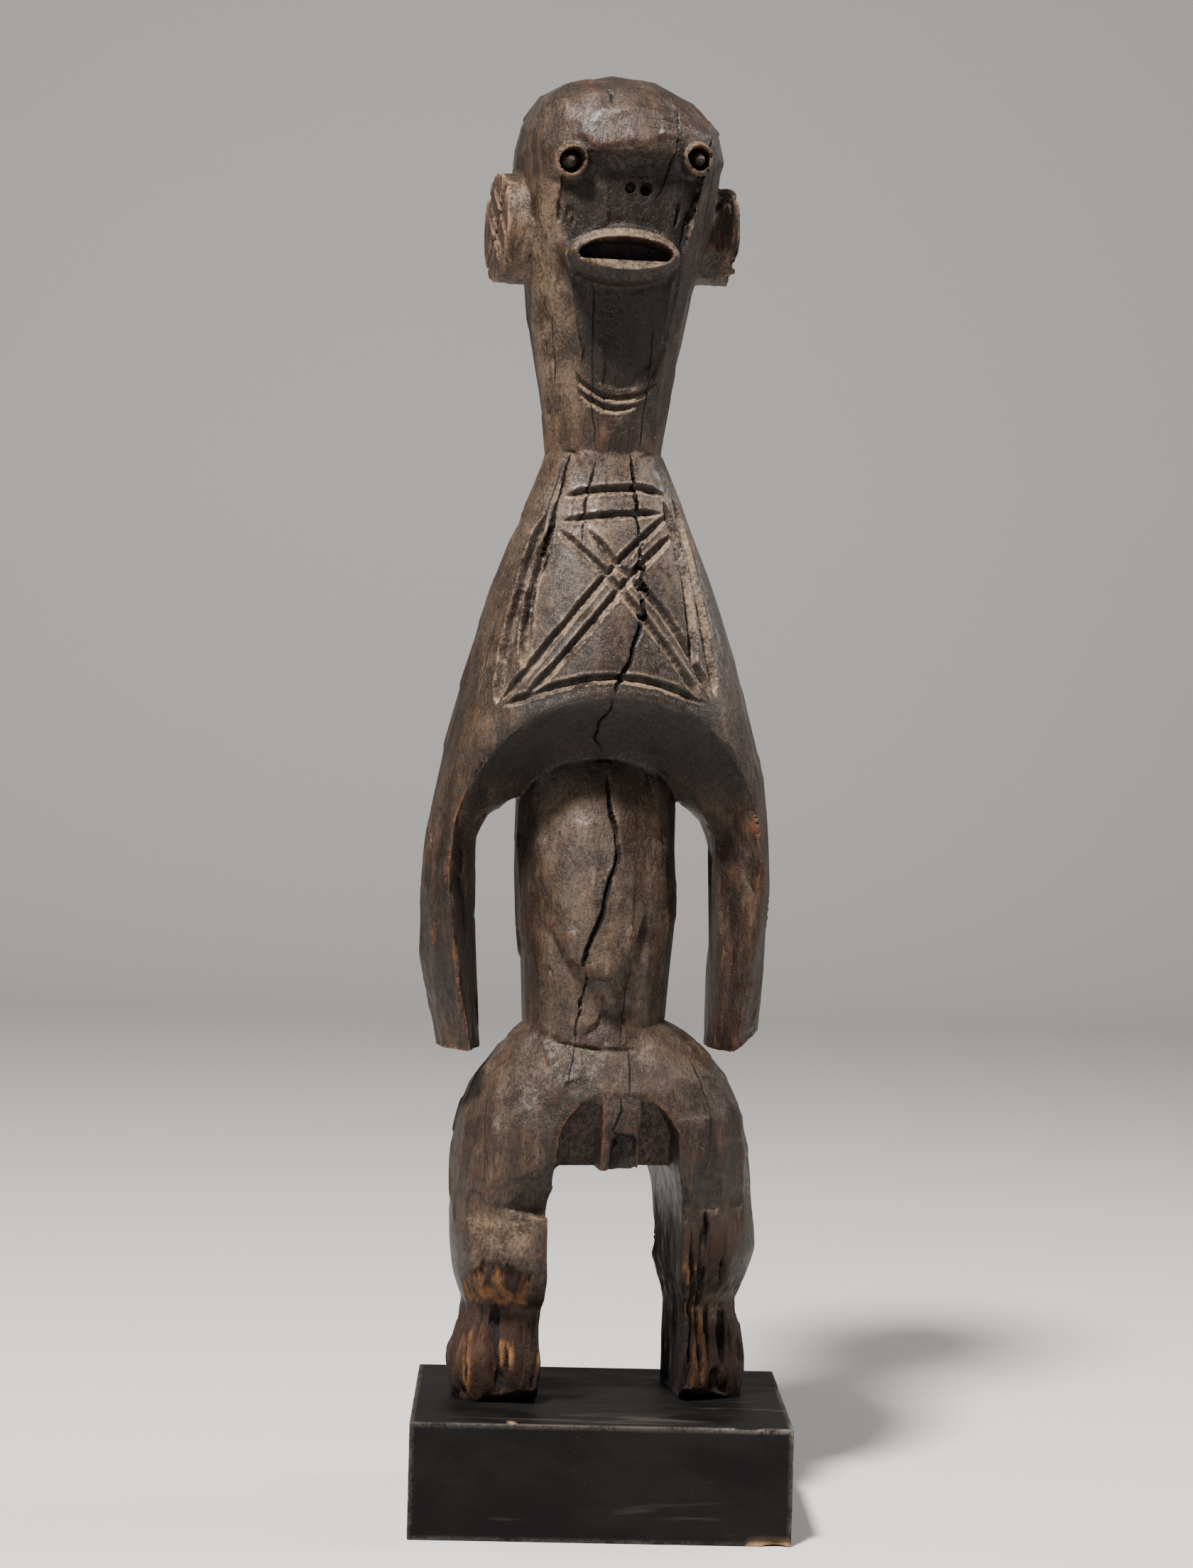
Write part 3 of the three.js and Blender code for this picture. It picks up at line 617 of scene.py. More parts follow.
def wear_tab(surface):
    """Takes the squareness off the break in the tab between the legs."""
    x, y, z = surface.points.T
    broken = span(x, -3, -1, 10, 12) * span(z, 82, 85, 105, 108) * step(-18, -24, y)
    surface.smooth(broken, 14)
    surface.push(0.8 * broken * (noise(surface.points, (2.4, 2.4, 5), 71) - 0.3))


def hang_lobe(surface):
    """Carries the front of the trunk down to its crisp lower edge, over the slope of the hips."""
    x, y, z = surface.points.T
    edge_z = np.interp(x, *zip(*TRUNK_EDGE))
    wanted = np.interp(x, *LOBE_EDGE) + 0.17 * (z - edge_z)
    share = (y < -8) * (z > edge_z) * step(156, 148, z) * span(x, -27, -24, 6, 15)
    surface.points[:, 1] += share * np.minimum(wanted - y, 0)
    surface.refresh()


def turn_ear(surface):
    """The outer face of one ear is turned a little to the front."""
    x, y, z = surface.points.T
    ear = step(-34, -43, x) * span(z, 412, 418, 464, 468)
    surface.points[:, 0] += ear * (0.7 - 0.12 * (y - 2))
    surface.refresh()


def drill_nostrils(surface):
    """Two separate round holes, in place of the solid's, which meet."""
    x, y, z = surface.points.T
    middle = np.mean([hole[:2] for hole in NOSTRILS], axis=0)
    away = np.hypot((x - middle[0]) / 1.25, z - middle[1])
    around = (away > 5) & (away < 7) & (y < -20) & (surface.normals[:, 1] < 0)
    terms = np.stack([np.ones_like(x), x, z, x * x], 1)
    level = np.linalg.lstsq(terms[around], y[around], rcond=None)[0]
    deep = np.zeros(len(x))
    for hole_x, hole_z, depth in NOSTRILS:
        deep = np.maximum(deep, depth * step(2.2, 1.3, np.hypot(x - hole_x, z - hole_z)))
    share = step(5.2, 4, away) * (y < -18)
    surface.points[:, 1] += share * (terms @ level + deep - y)
    surface.refresh()


def set_eyes(surface):
    """Opens the rings of the eyes a little and sets a round pupil in each."""
    x, y, z = surface.points.T
    for eye_x, eye_z in EYES:
        away = np.hypot(x - eye_x, z - eye_z)
        pupil = PUPIL_BED - PUPIL_RISE * np.sqrt(np.clip(1 - (away / PUPIL_RADIUS) ** 2, 0, 1))
        surface.points[:, 1] += step(4.3, 3.8, away) * (y < -28) * (pupil - y)
    surface.refresh()


def shape_mouth(surface):
    """Gives the ring of the mouth its bevel, its sharp inner edge and the dark slit behind it."""
    x, y, z = surface.points.T
    across, up = x - MOUTH[0], z - MOUTH[1]
    outer, inner = oval(x, z, MOUTH, MOUTH_RIM), oval(x, z, MOUTH, MOUTH_HOLE)
    crest, foot, floor = -46.8, -43.2, -37.5
    climb = np.clip((1 - outer) / np.maximum(inner - outer, 1e-6), 0, 1)
    bevel = foot + (crest - foot) * climb
    low_crest = -MOUTH_HOLE[1] * np.sqrt(np.clip(1 - (across / MOUTH_HOLE[0]) ** 2, 0, 1))
    shelf = crest + 3.2 * np.clip((up - low_crest) / np.maximum(-1.6 - low_crest, 0.5), 0, 1)
    slit = step(-1.9, -1.2, up) * step(1.0, 0.93, inner)
    hollow = slit * floor + (1 - slit) * np.where(up < -1.2, shelf, crest)
    wanted = np.where(inner > 1, bevel, hollow)
    wanted = np.where(outer >= 1, np.maximum(y, foot), wanted)
    surface.points[:, 1] = np.where((y < -36) & (outer < 1.15), wanted, y)
    surface.refresh()
    ring = step(1.3, 1.15, outer) * (surface.points[:, 1] < -36)
    surface.smooth(0.5 * ring, 1)


def shape_edges(surface, lines):
    """Crisp steps and soft ridges that the round of the solid does not have."""
    for points, above, below, reach in LEDGES:
        surface.push(raise_beside(surface, lines.laid(points), above, below, reach))
    amount = np.zeros(len(surface.points))
    for points, rise, reach in RIDGES:
        amount += raise_beside(surface, lines.laid(points), rise, rise, reach)
    surface.push(amount)


def laid_cuts(lines, table, tool, seed):
    """The front lines of a table as cuts of one tool."""
    return [(lines.laid(points), *tool, seed + k) for k, points in enumerate(table)]


def cut_lines(surface, lines):
    """Cuts the lines of the chest, throat, cheeks and ears, and says where they lie."""
    chest = laid_cuts(lines, CHEST_LINES, CHEST_TOOL, 10) + laid_cuts(lines, CHEST_SIDES, SIDE_TOOL, 24)
    cut = engrave(surface, chest, lip=0.3, torn=0.12, uneven=0.12)
    small = laid_cuts(lines, THROAT_LINES, THROAT_TOOL, 30) + laid_cuts(lines, CHEEK_CUTS, CHEEK_TOOL, 36)
    small += [(lines.laid(points, side), *EAR_TOOL, 40 + k) for k, (side, points) in enumerate(EAR_LINES)]
    return np.maximum(cut, engrave(surface, small, lip=0.2, torn=0.1, uneven=0.12))


def crack_lines(lines):
    """Every drying crack as its line, width, depth and seed."""
    cracks = []
    tables = zip((CRACKS, BACK_CRACKS, HAIRLINES, BACK_HAIRLINES), ("front", "back") * 2)
    for table, side in tables:
        for points, width, *depth in table:
            line = lines.wandering(points, side)
            cracks.append((line, width, depth[0] if depth else 0, 90 + len(cracks)))
    return cracks


def split_wood(surface, cracks):
    """Opens the wider cracks in the mesh; the finest are only drawn by the finish."""
    opened = [(line, width, 0.75 * depth, 3.0, 9, seed) for line, width, depth, seed in cracks if depth]
    engrave(surface, opened)


def wear_feet(surface, lines):
    """The left knee's patch and the feet have rotted: soft wood has gone and long splinters stand out."""
    points = surface.points
    x, y, z = points.T
    upright = step(0.9, 0.2, np.abs(surface.normals[:, 2])) * step(0.2, 3.0, z)
    loss = 0.9 * rough(points, (9, 9, 16), 3, 5)
    loss -= np.abs(noise(points, (1.7, 1.7, 26), 3)) + 1.3 * np.abs(noise(points, (3.6, 3.6, 30), 4))
    ragged = step(0.2, 0.5, noise(points, (5, 5, 9), 6)) * step(40, 45, x) * step(44, 34, z)
    torn = 0.9 * knee_patch(points) * step(-0.2, -0.5, surface.normals[:, 1])
    surface.push(((loss + 0.35) * rotten(points) - 2.0 * ragged) * upright - torn)
    splits = [(lines.laid(split), *size, 1.1, 7, 150 + k) for k, (split, *size) in enumerate(SPLITS)]
    engrave(surface, splits)


def knee_patch(points):
    """The torn patch on the left knee."""
    x, y, z = points.T
    ragged = 2.2 * noise(points, (3, 3, 5), 12) + 1.5 * noise(points, (1.2, 1.2, 9), 13)
    top = np.interp(x, (-50, -45.4, -40.7, -35.7, -31), (49, 53.2, 55, 53, 50))
    heights = step(1.4, -0.6, z - top + ragged) * step(36, 38, z + 0.5 * ragged)
    return heights * step(-27.6, -29.6, x + 0.5 * ragged) * step(-50.5, -48.5, x + ragged) * step(-4, -10, y)


def rotten(points):
    """Where the wood is raw and eaten away."""
    x, y, z = points.T
    uneven = rough(points, (12, 12, 16), 3, 11)
    left_foot = step(38, 31, z + 3 * uneven) * step(0, -6, x)
    right = step(76, 58, z + 7 * uneven) * step(20, 26, x) * np.maximum(step(50, 45, x), step(50, 40, z))
    return np.clip(left_foot + knee_patch(points) + right, 0, 1)


def rough_ears(surface):
    """Raises the grain of the ears, and eats into the one whose lower half has rotted."""
    x, y, z = surface.points.T
    grain = -np.abs(noise(surface.points, (1.8, 1.8, 16), 21))
    grain -= 0.6 * np.abs(noise(surface.points, (1, 1, 9), 22))
    height = span(z, 416, 421, 462, 466)
    eaten = step(0.05, 0.5, noise(surface.points, (4, 4, 6), 23)) * step(440, 424, z) * step(40, 44, x)
    surface.push(height * (step(30, 34, x) * (0.8 * grain - 1.8 * eaten) + 0.3 * step(-34, -38, x) * grain))


def cut_fingers(surface):
    """Close upright lines on the ends of the arms."""
    x, y, z = surface.points.T
    shell = regions(surface.points, surface.normals)["shell"]
    low = shell * step(172, 146, z) * step(0.5, 0.2, np.abs(surface.normals[:, 2]))
    wide = np.abs(noise(np.stack([x, y, z * 0], 1), 2.2, 25))
    fine = np.abs(noise(surface.points, (1, 1, 30), 26))
    surface.push(-low * (0.8 * wide + 0.35 * fine))


def chip_edges(surface):
    """Small losses along the worn hard edges."""
    edge = step(0.06, 0.14, surface.crispness())
    part = regions(surface.points, surface.normals)
    loss = step(0.4, 0.8, noise(surface.points, (5, 5, 8), 41)) * 0.6
    surface.push(-edge * loss * (1 - part["features"]) * step(146, 152, surface.points[:, 2]))


def rest_on_block(surface):
    """The soles close the small gap that the solids keep between figure and block."""
    low = step(1.2, 0.0, surface.points[:, 2])
    surface.points[:, 2] = np.where(surface.points[:, 2] < 0.25, -GAP, surface.points[:, 2] - GAP * low)
    surface.refresh()


def carve(voxel, limit):
    """The figure's finished surface in metres, with what its finish reads stored on its points."""
    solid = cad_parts["figure"].data
    points, faces = mesh_arrays(with_modifier(solid.copy(), "REMESH", mode="VOXEL", voxel_size=voxel))
    surface = Surface(own_frame(points), faces)
    lines = Lines()
    soften(surface)
    cut_facets(surface)
    hang_lobe(surface)
    turn_ear(surface)
    drill_nostrils(surface)
    set_eyes(surface)
    shape_mouth(surface)
    wear_tab(surface)
    shape_edges(surface, lines)
    chip_edges(surface)
    cut = cut_lines(surface, lines)
    rough_ears(surface)
    cut_fingers(surface)
    wear_feet(surface, lines)
    cracks = crack_lines(lines)
    marks = crack_marks(surface, cracks)
    finish = looks(surface, cut) | marks
    split_wood(surface, cracks)
    surface.smooth(np.full(len(surface.points), 0.4), 1)
    rest_on_block(surface)
    full = mesh_from("full", within(world_frame(surface.points), "figure", GAP * MM), surface.faces)
    store(full, finish)
    kept = close_detail(surface) | (marks["crack_near"] < 1.9)
    ratio = limit / len(surface.faces)
    mesh = with_modifier(full, "DECIMATE", ~kept, ratio=ratio, use_collapse_triangulate=True)
    mesh.name = "carved_figure"
    points, _ = mesh_arrays(mesh)
    mesh.vertices.foreach_set("co", within(points, "figure", GAP * MM).ravel())
    mesh.update()
    return mesh


def close_detail(surface):
    """The points with the finest cuts, on the face, chest and throat, which keep all their triangles."""
    x, y, z = surface.points.T
    face = (np.abs(x + 1) < 29) & (z > 408) & (z < 468) & (y < -14)
    throat = (np.abs(x + 4) < 19) & (z > 367) & (z < 389) & (y < -10)
    chest = (np.abs(x + 5) < 26 + 0.26 * (345 - z)) & (z > 258) & (z < 347) & (y < -8)
    return face | throat | chest


def within(points, node, below=0.0):
    """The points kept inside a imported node's box."""
    low, high = (np.array(corner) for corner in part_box(node))
    return np.clip(points, low - [0, 0, below], high)


def store(mesh, values):
    """Puts named numbers on the points of a mesh, where its material can read them."""
    for name, column in values.items():
        layer = mesh.attributes.new(name, "FLOAT", "POINT")
        layer.data.foreach_set("value", column.astype(np.float32))


def lying_dust(points, part, up, panel):
    """Dust on the left of the face, the tops of the forms, the left knee, a splinter and the belly."""
    x, y, z = points.T
    left = part["neck"] * step(-12, -22, x + 0.12 * (z - 380)) * step(350, 372, z)
    shoulders = part["shell"] * (0.25 * step(0, 0.6, up) + 0.3 * step(290, 340, z) * step(-4, -20, y))
    hips = 0.15 * part["hips"] * step(0.1, 0.7, up)
    knee = span(x, -54, -50, -29.5, -27) * step(-4, -12, y) * step(48, 52, z)
    knee *= step(74, 71.5, z + 3 * noise(points, 5, 17))
    belly = step(30, 24, np.abs(x)) * step(-10, -18, y) * part["trunk"]
    patches = 0.6 * (knee + dusty_splinter(x, y, z)) + 0.2 * belly
    return (0.4 * left + shoulders + hips) * (1 - panel) + patches


def dusty_splinter(x, y, z):
    """A long splinter on the right leg that has kept its dust."""
    return step(35, 38, x) * step(-10, -16, y) * span(z, 27, 31, 40, 43)


def face_openings(x, y, z):
    """The rims of the eyes, and painted shade round the pupils, in the nostrils and in the mouth."""
    rim, dark = np.zeros(len(x)), np.zeros(len(x))
    for eye_x, eye_z in EYES:
        away = np.hypot(x - eye_x, z - eye_z)
        rim = np.maximum(rim, bump(5.3, 1.6, away) * step(-24, -32, y))
        dark = np.maximum(dark, bump(3.9, 0.8, away) * step(-38.4, -36.4, y))
    for hole_x, hole_z, _ in NOSTRILS:
        dark += step(2.4, 1.6, np.hypot(x - hole_x, z - hole_z)) * step(-20, -26, y)
    dark += step(1.0, 0.9, oval(x, z, MOUTH, MOUTH_HOLE)) * span(y, -42.6, -41, -36, -30)
    return rim, dark


def shaded_wood(x, y, z, normals):
    """Painted shade: black under the arch, on the inner side of a leg and in the break of the tab."""
    nx, _, nz = normals.T
    within_arch = np.maximum(step(0.3, -0.3, nz), step(38, 31, np.abs(x - TRUNK_MIDDLE)))
    arch = span(z, 222, 238, 258, 270) * within_arch
    leg = step(14, 20, x) * step(124, 116, z) * step(-0.2, -0.6, nx)
    tab = span(x, -1.6, -0.6, 8, 9) * span(z, 88, 90, 102.6, 104) * step(-22, -28, y)
    return arch, leg + 0.8 * tab


def looks(surface, cut):
    """What the finish reads at each point: hollows, edges, dust with painted light, rot, polish and painted
    shade.
    """
    points, part = surface.points, regions(surface.points, surface.normals)
    x, y, z = points.T
    nx, _, nz = surface.normals.T
    fine, broad = (
        ((surface.blurred(points, rounds) - points) * surface.normals).sum(1) for rounds in (6, 50)
    )
    # How hollow each point is: dust gathers there, and the finish darkens it as painted shade
    hollow = np.clip(0.7 * step(0.04, 0.28, fine) + 0.6 * step(0.2, 1.3, broad), 0, 1)
    ears = step(36, 40, np.abs(x)) * step(414, 420, z)
    chest = step(-6, -14, y) * span(z, 256, 262, 348, 352)
    mouth = step(1.3, 1.1, oval(x, z, MOUTH, MOUTH_REACH)) * step(-34, -40, y)
    brow = step(-10, -20, y) * bump(462, 10, z)
    panel = surface.blurred(step(-10, -16, y) * face_panel(x, z), 10)
    groove = step(0.1, 0.5, cut) * (1 - ears)
    # The walls of the cuts that face up and to the left, towards the light, take pale dust and painted
    # light; the other walls take painted shade
    dusty_lit_walls = groove * step(-0.15, 0.3, 0.9 * nz - 0.4 * nx)
    eye_rim, dark = face_openings(x, y, z)
    arch, shade = shaded_wood(x, y, z, surface.normals)
    edge = step(-0.14, -0.34, fine) + 0.12 * step(-0.04, -0.12, fine) + 0.5 * ears * step(-0.06, -0.2, fine)
    neck = part["neck"] * step(-16, -24, y)
    rubbed = edge * (1 - arch) * (1 - 0.85 * chest) * (1 - 0.5 * brow) * (1 - 0.8 * mouth) * (1 - 0.6 * neck)
    rubbed *= (1 - 0.6 * part["hips"]) * (1 - 0.7 * part["trunk"])
    # Pale dust, and painted light on the lit walls of the cuts and on the top of the mouth's rim
    dust_and_light = lying_dust(points, part, nz, panel) + 0.75 * dusty_lit_walls + 0.5 * (edge * chest + eye_rim)
    dust_and_light += 0.8 * step(0.3, 0.5, edge) * part["ear"]
    # Dust and painted light on the upper faces of the mouth's rim
    dust_and_light += 0.6 * mouth * step(0, 0.4, nz) * step(0.6, 0.3, hollow)
    polish = 0.8 * (part["dome"] * step(-0.3, 0.6, nz) + chest) + 0.4 * part["trunk"] * step(-10, -24, y)
    polish += 0.05 * part["hips"] * step(-0.2, 0.5, nz)
    # Painted shade: black under the arch, on the inner side of a leg, in the tab's break, in the openings of
    # the face, on the undersides of the legs and on the walls of the cuts that face away from the light
    painted_shade = arch + shade + dark + 0.6 * step(0.1, -0.5, nz) * part["legs"] + 0.75 * (groove - dusty_lit_walls)
    # More painted shade: on the flat face under the brow, and on the undersides of the mouth's rim
    painted_shade += 0.8 * panel * (1 - mouth) * (1 - eye_rim) + 0.5 * mouth * step(0, -0.4, nz)
    return {
        "hollow": hollow,
        "edge": np.clip(rubbed, 0, 1),
        "dust_and_light": np.clip(dust_and_light, 0, 1),
        "rot": rotten(points) * (1 - 0.8 * dusty_splinter(x, y, z)),
        "fresh": knee_patch(points) + 0.8 * fresh_wood(points, fine),
        "polish": polish,
        "painted_shade": np.clip(painted_shade, 0, 1),
    }


def face_panel(x, z):
    """1 inside the outline of the flat face and 0 outside it."""
    outline = [*PANEL_OUTLINE, (25.4, 464), (-27.6, 464)]
    inside = np.zeros(len(x), bool)
    for (ax, az), (bx, bz) in zip(outline, outline[1:] + outline[:1]):
        if az != bz:
            inside ^= ((z > min(az, bz)) & (z <= max(az, bz))) & (x < ax + (z - az) * (bx - ax) / (bz - az))
    return inside.astype(float)


def fresh_wood(points, fine):
    """Where the rot has left orange wood: the front of the left foot and splinters on the right leg."""
    x, y, z = points.T
    proud = step(0.05, -0.12, fine)
    toes = step(-6, -16, y) * step(33, 26, z) * step(0.5, 4, z) * step(-14, -20, x)
    streak = step(0.1, 0.4, noise(points, (2.4, 2.4, 46), 15))
    splinters = streak * step(27, 30, x) * step(42, 38, x) * step(62, 54, z) * step(-8, -14, y)
    return np.clip(toes * proud * step(-0.2, 0.3, noise(points, (5, 5, 9), 16)) + splinters, 0, 1)


def crack_marks(surface, cracks):
    """How far each point is from the nearest crack, with and without its side, and the half width there."""
    offset, near_by = np.full(len(surface.points), 9.0), np.full(len(surface.points), 9.0)
    width = np.full(len(surface.points), -1.0)
    for line, wide, _, seed in cracks:
        near, across, along, side, total = measure(line, surface.points, surface.normals, 4)
        better = across < near_by[near]
        chosen = near[better]
        near_by[chosen] = across[better]
        offset[chosen] = (across * side)[better]
        width[chosen] = width_along(along, total, wide, 6, seed)[better]
    return {"crack_offset": offset, "crack_near": near_by, "crack_width": width}


# The block

def block_mesh(edge, chip):
    """A sawn block with softened edges, small chips and a step broken out of its top edge."""
    size = BLOCK_HIGH - BLOCK_LOW
    shape = bmesh.new()
    bmesh.ops.create_cube(shape, size=1, matrix=Matrix.Diagonal((*size, 1)))
    bmesh.ops.translate(shape, verts=shape.verts, vec=(BLOCK_LOW + BLOCK_HIGH) / 2)
    for axis in range(3):
        cells = round(size[axis] / BLOCK_CELL)
        normal = Vector((axis == 0, axis == 1, axis == 2))
        for k in range(1, cells):
            spot = BLOCK_LOW.copy()
            spot[axis] += size[axis] * k / cells
            cut = shape.verts[:] + shape.edges[:] + shape.faces[:]
            bmesh.ops.bisect_plane(shape, geom=cut, plane_co=spot, plane_no=normal)
    hard = [e for e in shape.edges if e.calc_face_angle(0) > 1]
    bmesh.ops.bevel(shape, geom=hard, offset=edge, segments=3, profile=0.5, affect="EDGES")
    bmesh.ops.triangulate(shape, faces=shape.faces)
    mesh = bpy.data.meshes.new("black_block")
    shape.to_mesh(mesh)
    shape.free()
    points, faces = mesh_arrays(mesh)
    surface = Surface(points / MM, faces)
    dents(surface, chip)
    mesh.vertices.foreach_set("co", within(surface.points * MM, "plinth").ravel())
    mesh.update()
    store(mesh, block_looks(surface))
    return mesh


def block_edges(points):
    """How near each point is to the block's twelve edges, as millimetres in from them."""
    low, high = np.array(BLOCK_LOW) / MM, np.array(BLOCK_HIGH) / MM
    inset = np.sort(np.minimum(points - low, high - points), axis=1)
    return inset[:, 1]


def dents(surface, chip):
    """Knocks along the edges, the broken lower corner, the broken top edge and the saw's slight waves."""
    points = surface.points
    x, y, z = points.T
    near_edge = step(2.4, 0.2, block_edges(points))
    loss = step(0.5, 0.9, noise(points, (9, 5, 5), 61)) * 0.8 + 0.08 * rough(points, 7, 2, 62)
    corner = step(chip, 0, np.abs(x - 64)) * step(4, 0, z) * step(-46, -52, y)
    top_edge = step(5, 3, np.abs(x - 53)) * step(2.6, 0, BLOCK_HIGH.z / MM - z) * step(-48, -52, y)
    waves = 0.05 * rough(points, (60, 40, 12), 2, 63) - 0.05
    surface.push(-near_edge * loss * 0.6 - 1.6 * corner - 0.9 * top_edge + waves)


def block_looks(surface):
    """Where the block's wood is bare, and where its paint is rubbed."""
    points = surface.points
    x, y, z = points.T
    bare = step(9, 6, np.abs(x - 62)) * step(2.6, 0.6, z) * step(-50, -52.2, y)
    bare += step(1.2, 0.2, np.hypot(x + 33, (z - 43) * 0.6 + (y + 50) * 0.4))
    rubbed = step(1.6, 0.1, block_edges(points))
    front_right = step(30, 62, x) * step(-40, -50, y) * step(36, 42, z)
    return {"bare": np.clip(bare, 0, 1), "edge": np.clip(rubbed * (0.5 + front_right), 0, 1)}


# Finishes

FLOAT, PLACE = "NodeSocketFloat", "NodeSocketVector"


class Nodes:
    """The nodes of one material or group, with short ways to add to them."""

    def __init__(self, tree):
        self.tree = tree

    def feed(self, socket, value):
        """Links an input to another node's output, or sets it to a number or colour."""
        if isinstance(value, bpy.types.NodeSocket):
            self.tree.links.new(value, socket)
        else:
            socket.default_value = value

    def put(self, kind, inputs=None, **settings):
        """Adds a node to the row, sets it up and feeds its inputs."""
        node = self.tree.nodes.new(kind)
        node.location.x = 180 * len(self.tree.nodes)
        for key, value in settings.items():
            setattr(node, key, value)
        for key, value in (inputs or {}).items():
            self.feed(node.inputs[key], value)
        return node

    def math(self, operation, *values, clamp=False):
        """One step of sums on numbers."""
        inputs = dict(enumerate(values))
        return self.put("ShaderNodeMath", inputs, operation=operation, use_clamp=clamp).outputs[0]

    def times(self, a, b, clamp=False):
        """The product of two numbers."""
        return self.math("MULTIPLY", a, b, clamp=clamp)

    def add(self, total, *terms, clamp=False):
        """The total with each value added, times its weight."""
        for value, weight in terms:
            total = self.math("MULTIPLY_ADD", value, weight, total, clamp=clamp)
        return total

    def between(self, value, low, high, to_low=0.0, to_high=1.0):
        """The value, carried smoothly from low..high to to_low..to_high."""
        node = self.put("ShaderNodeMapRange", interpolation_type="SMOOTHSTEP", inputs={
            "Value": value, "From Min": low, "From Max": high, "To Min": to_low, "To Max": to_high,
        })
        return node.outputs["Result"]

    def blend(self, factor, under, over):
        """The colour under, covered by the colour over as far as the factor says."""
        node = self.put("ShaderNodeMix", data_type="RGBA")
        colours = [socket for socket in node.inputs if socket.type == "RGBA"]
        for socket, value in zip((node.inputs[0], *colours), (factor, under, over)):
            self.feed(socket, value)
        return next(socket for socket in node.outputs if socket.type == "RGBA")

    def coated(self, colour, *coats):
        """The colour under coats of others, each with the factor that lays it on."""
        for factor, over in coats:
            colour = self.blend(factor, colour, over)
        return colour

    def cloud(self, place, scale, detail=4.0, rough_by=0.55, squash=(1, 1, 1), twist=0.0):
        """Noise from 0 to 1, with scale in lumps to the metre, squashed along each axis."""
        spread = self.put("ShaderNodeVectorMath", {0: place, 1: squash}, operation="MULTIPLY")
        node = self.put("ShaderNodeTexNoise", {
            "Vector": spread.outputs[0], "Scale": scale, "Detail": detail, "Roughness": rough_by,
            "Distortion": twist,
        })
        return node.outputs["Fac"]

    def stored(self, name):
        """The number that the mesh's points hold under this name."""
        return self.put("ShaderNodeAttribute", attribute_name=name, attribute_type="GEOMETRY").outputs["Fac"]

    def place(self):
        """Where the surface is, in metres."""
        return self.put("ShaderNodeNewGeometry").outputs["Position"]

    def shared(self, name, inputs):
        """Places one of the shared groups, which is built when it is first asked for."""
        made = bpy.data.node_groups.get(name) or SHARED_GROUPS[name]()
        return self.put("ShaderNodeGroup", inputs, node_tree=made).outputs


def group(name, takes, gives):
    """A new node group with its named sockets, and its input and output nodes."""
    tree = bpy.data.node_groups.new(name, "ShaderNodeTree")
    for label, kind, value in takes:
        socket = tree.interface.new_socket(name=label, in_out="INPUT", socket_type=kind)
        if value is not None:
            socket.default_value = value
    for label in gives:
        tree.interface.new_socket(name=label, in_out="OUTPUT", socket_type=FLOAT)
    nodes = Nodes(tree)
    return nodes, nodes.put("NodeGroupInput").outputs, nodes.put("NodeGroupOutput").inputs


def grain_group():
    """Upright wood grain: long fibres, pores and broad streaks."""
    nodes, has, out = group(
        "Upright grain", (("Place", PLACE, None), ("Fineness", FLOAT, 1.0)), ("Fibre", "Streak", "Pores"),
    )
    place = nodes.put("ShaderNodeVectorMath", {0: has["Place"], "Scale": has["Fineness"]}, operation="SCALE")
    place = place.outputs[0]
    nodes.feed(out["Fibre"], nodes.cloud(place, 900, 5, 0.65, (1, 1, 0.07), 0.3))
    nodes.feed(out["Streak"], nodes.cloud(place, 110, 4, 0.6, (1, 1, 0.12), 0.6))
    nodes.feed(out["Pores"], nodes.between(nodes.cloud(place, 1700, 2, 0.5, (1, 1, 0.16)), 0.60, 0.72))
    return nodes.tree


def rub_group():
    """Wear on proud edges, dust in hollows, and the dust and painted light that the points hold, broken up
    so that none is even.
    """
    nodes, has, out = group(
        "Rub and dust",
        (("Place", PLACE, None), ("Edge", FLOAT, 0.0), ("Hollow", FLOAT, 0.0), ("Dust and light", FLOAT, 0.0)),
        ("Rubbed", "Dusty and lit"),
    )
    patch = nodes.cloud(has["Place"], 90, 5, 0.65)
    speck = nodes.cloud(has["Place"], 900, 3, 0.6)
    torn = nodes.add(0.0, (patch, 0.6), (speck, 0.4))
    lying = nodes.add(has["Dust and light"], (has["Hollow"], 0.22))
    nodes.feed(out["Rubbed"], nodes.times(has["Edge"], nodes.between(torn, 0.36, 0.58)))
    nodes.feed(out["Dusty and lit"], nodes.times(lying, nodes.between(torn, 0.40, 0.62), clamp=True))
    return nodes.tree


def crack_group():
    """A mask for drying cracks from the distance and half width that the points hold."""
    nodes, has, out = group(
        "Drying crack",
        (("Place", PLACE, None), ("Offset", FLOAT, 9.0), ("Distance", FLOAT, 9.0),
         ("Half width", FLOAT, -1.0)),
        ("Crack",),
    )
    shake = nodes.math("SUBTRACT", nodes.cloud(has["Place"], 700, 3, 0.6, (1, 1, 0.5)), 0.5)
    offset = nodes.math("ABSOLUTE", nodes.add(has["Offset"], (shake, 0.45)))
    half = nodes.times(has["Half width"], 1.35)
    inside = nodes.between(nodes.math("SUBTRACT", half, offset), -0.10, 0.05)
    close = nodes.between(nodes.math("SUBTRACT", has["Distance"], half), 0.75, 0.45)
    nodes.feed(out["Crack"], nodes.times(inside, close))
    return nodes.tree


SHARED_GROUPS = {"Upright grain": grain_group, "Rub and dust": rub_group, "Drying crack": crack_group}


def material(name):
    """A material with only its Principled shader."""
    made = bpy.data.materials.new(name)
    made.use_nodes = True
    made.node_tree.nodes.clear()
    nodes = Nodes(made.node_tree)
    shader = nodes.put("ShaderNodeBsdfPrincipled")
    nodes.put("ShaderNodeOutputMaterial", {"Surface": shader.outputs[0]})
    return made, nodes, shader.inputs


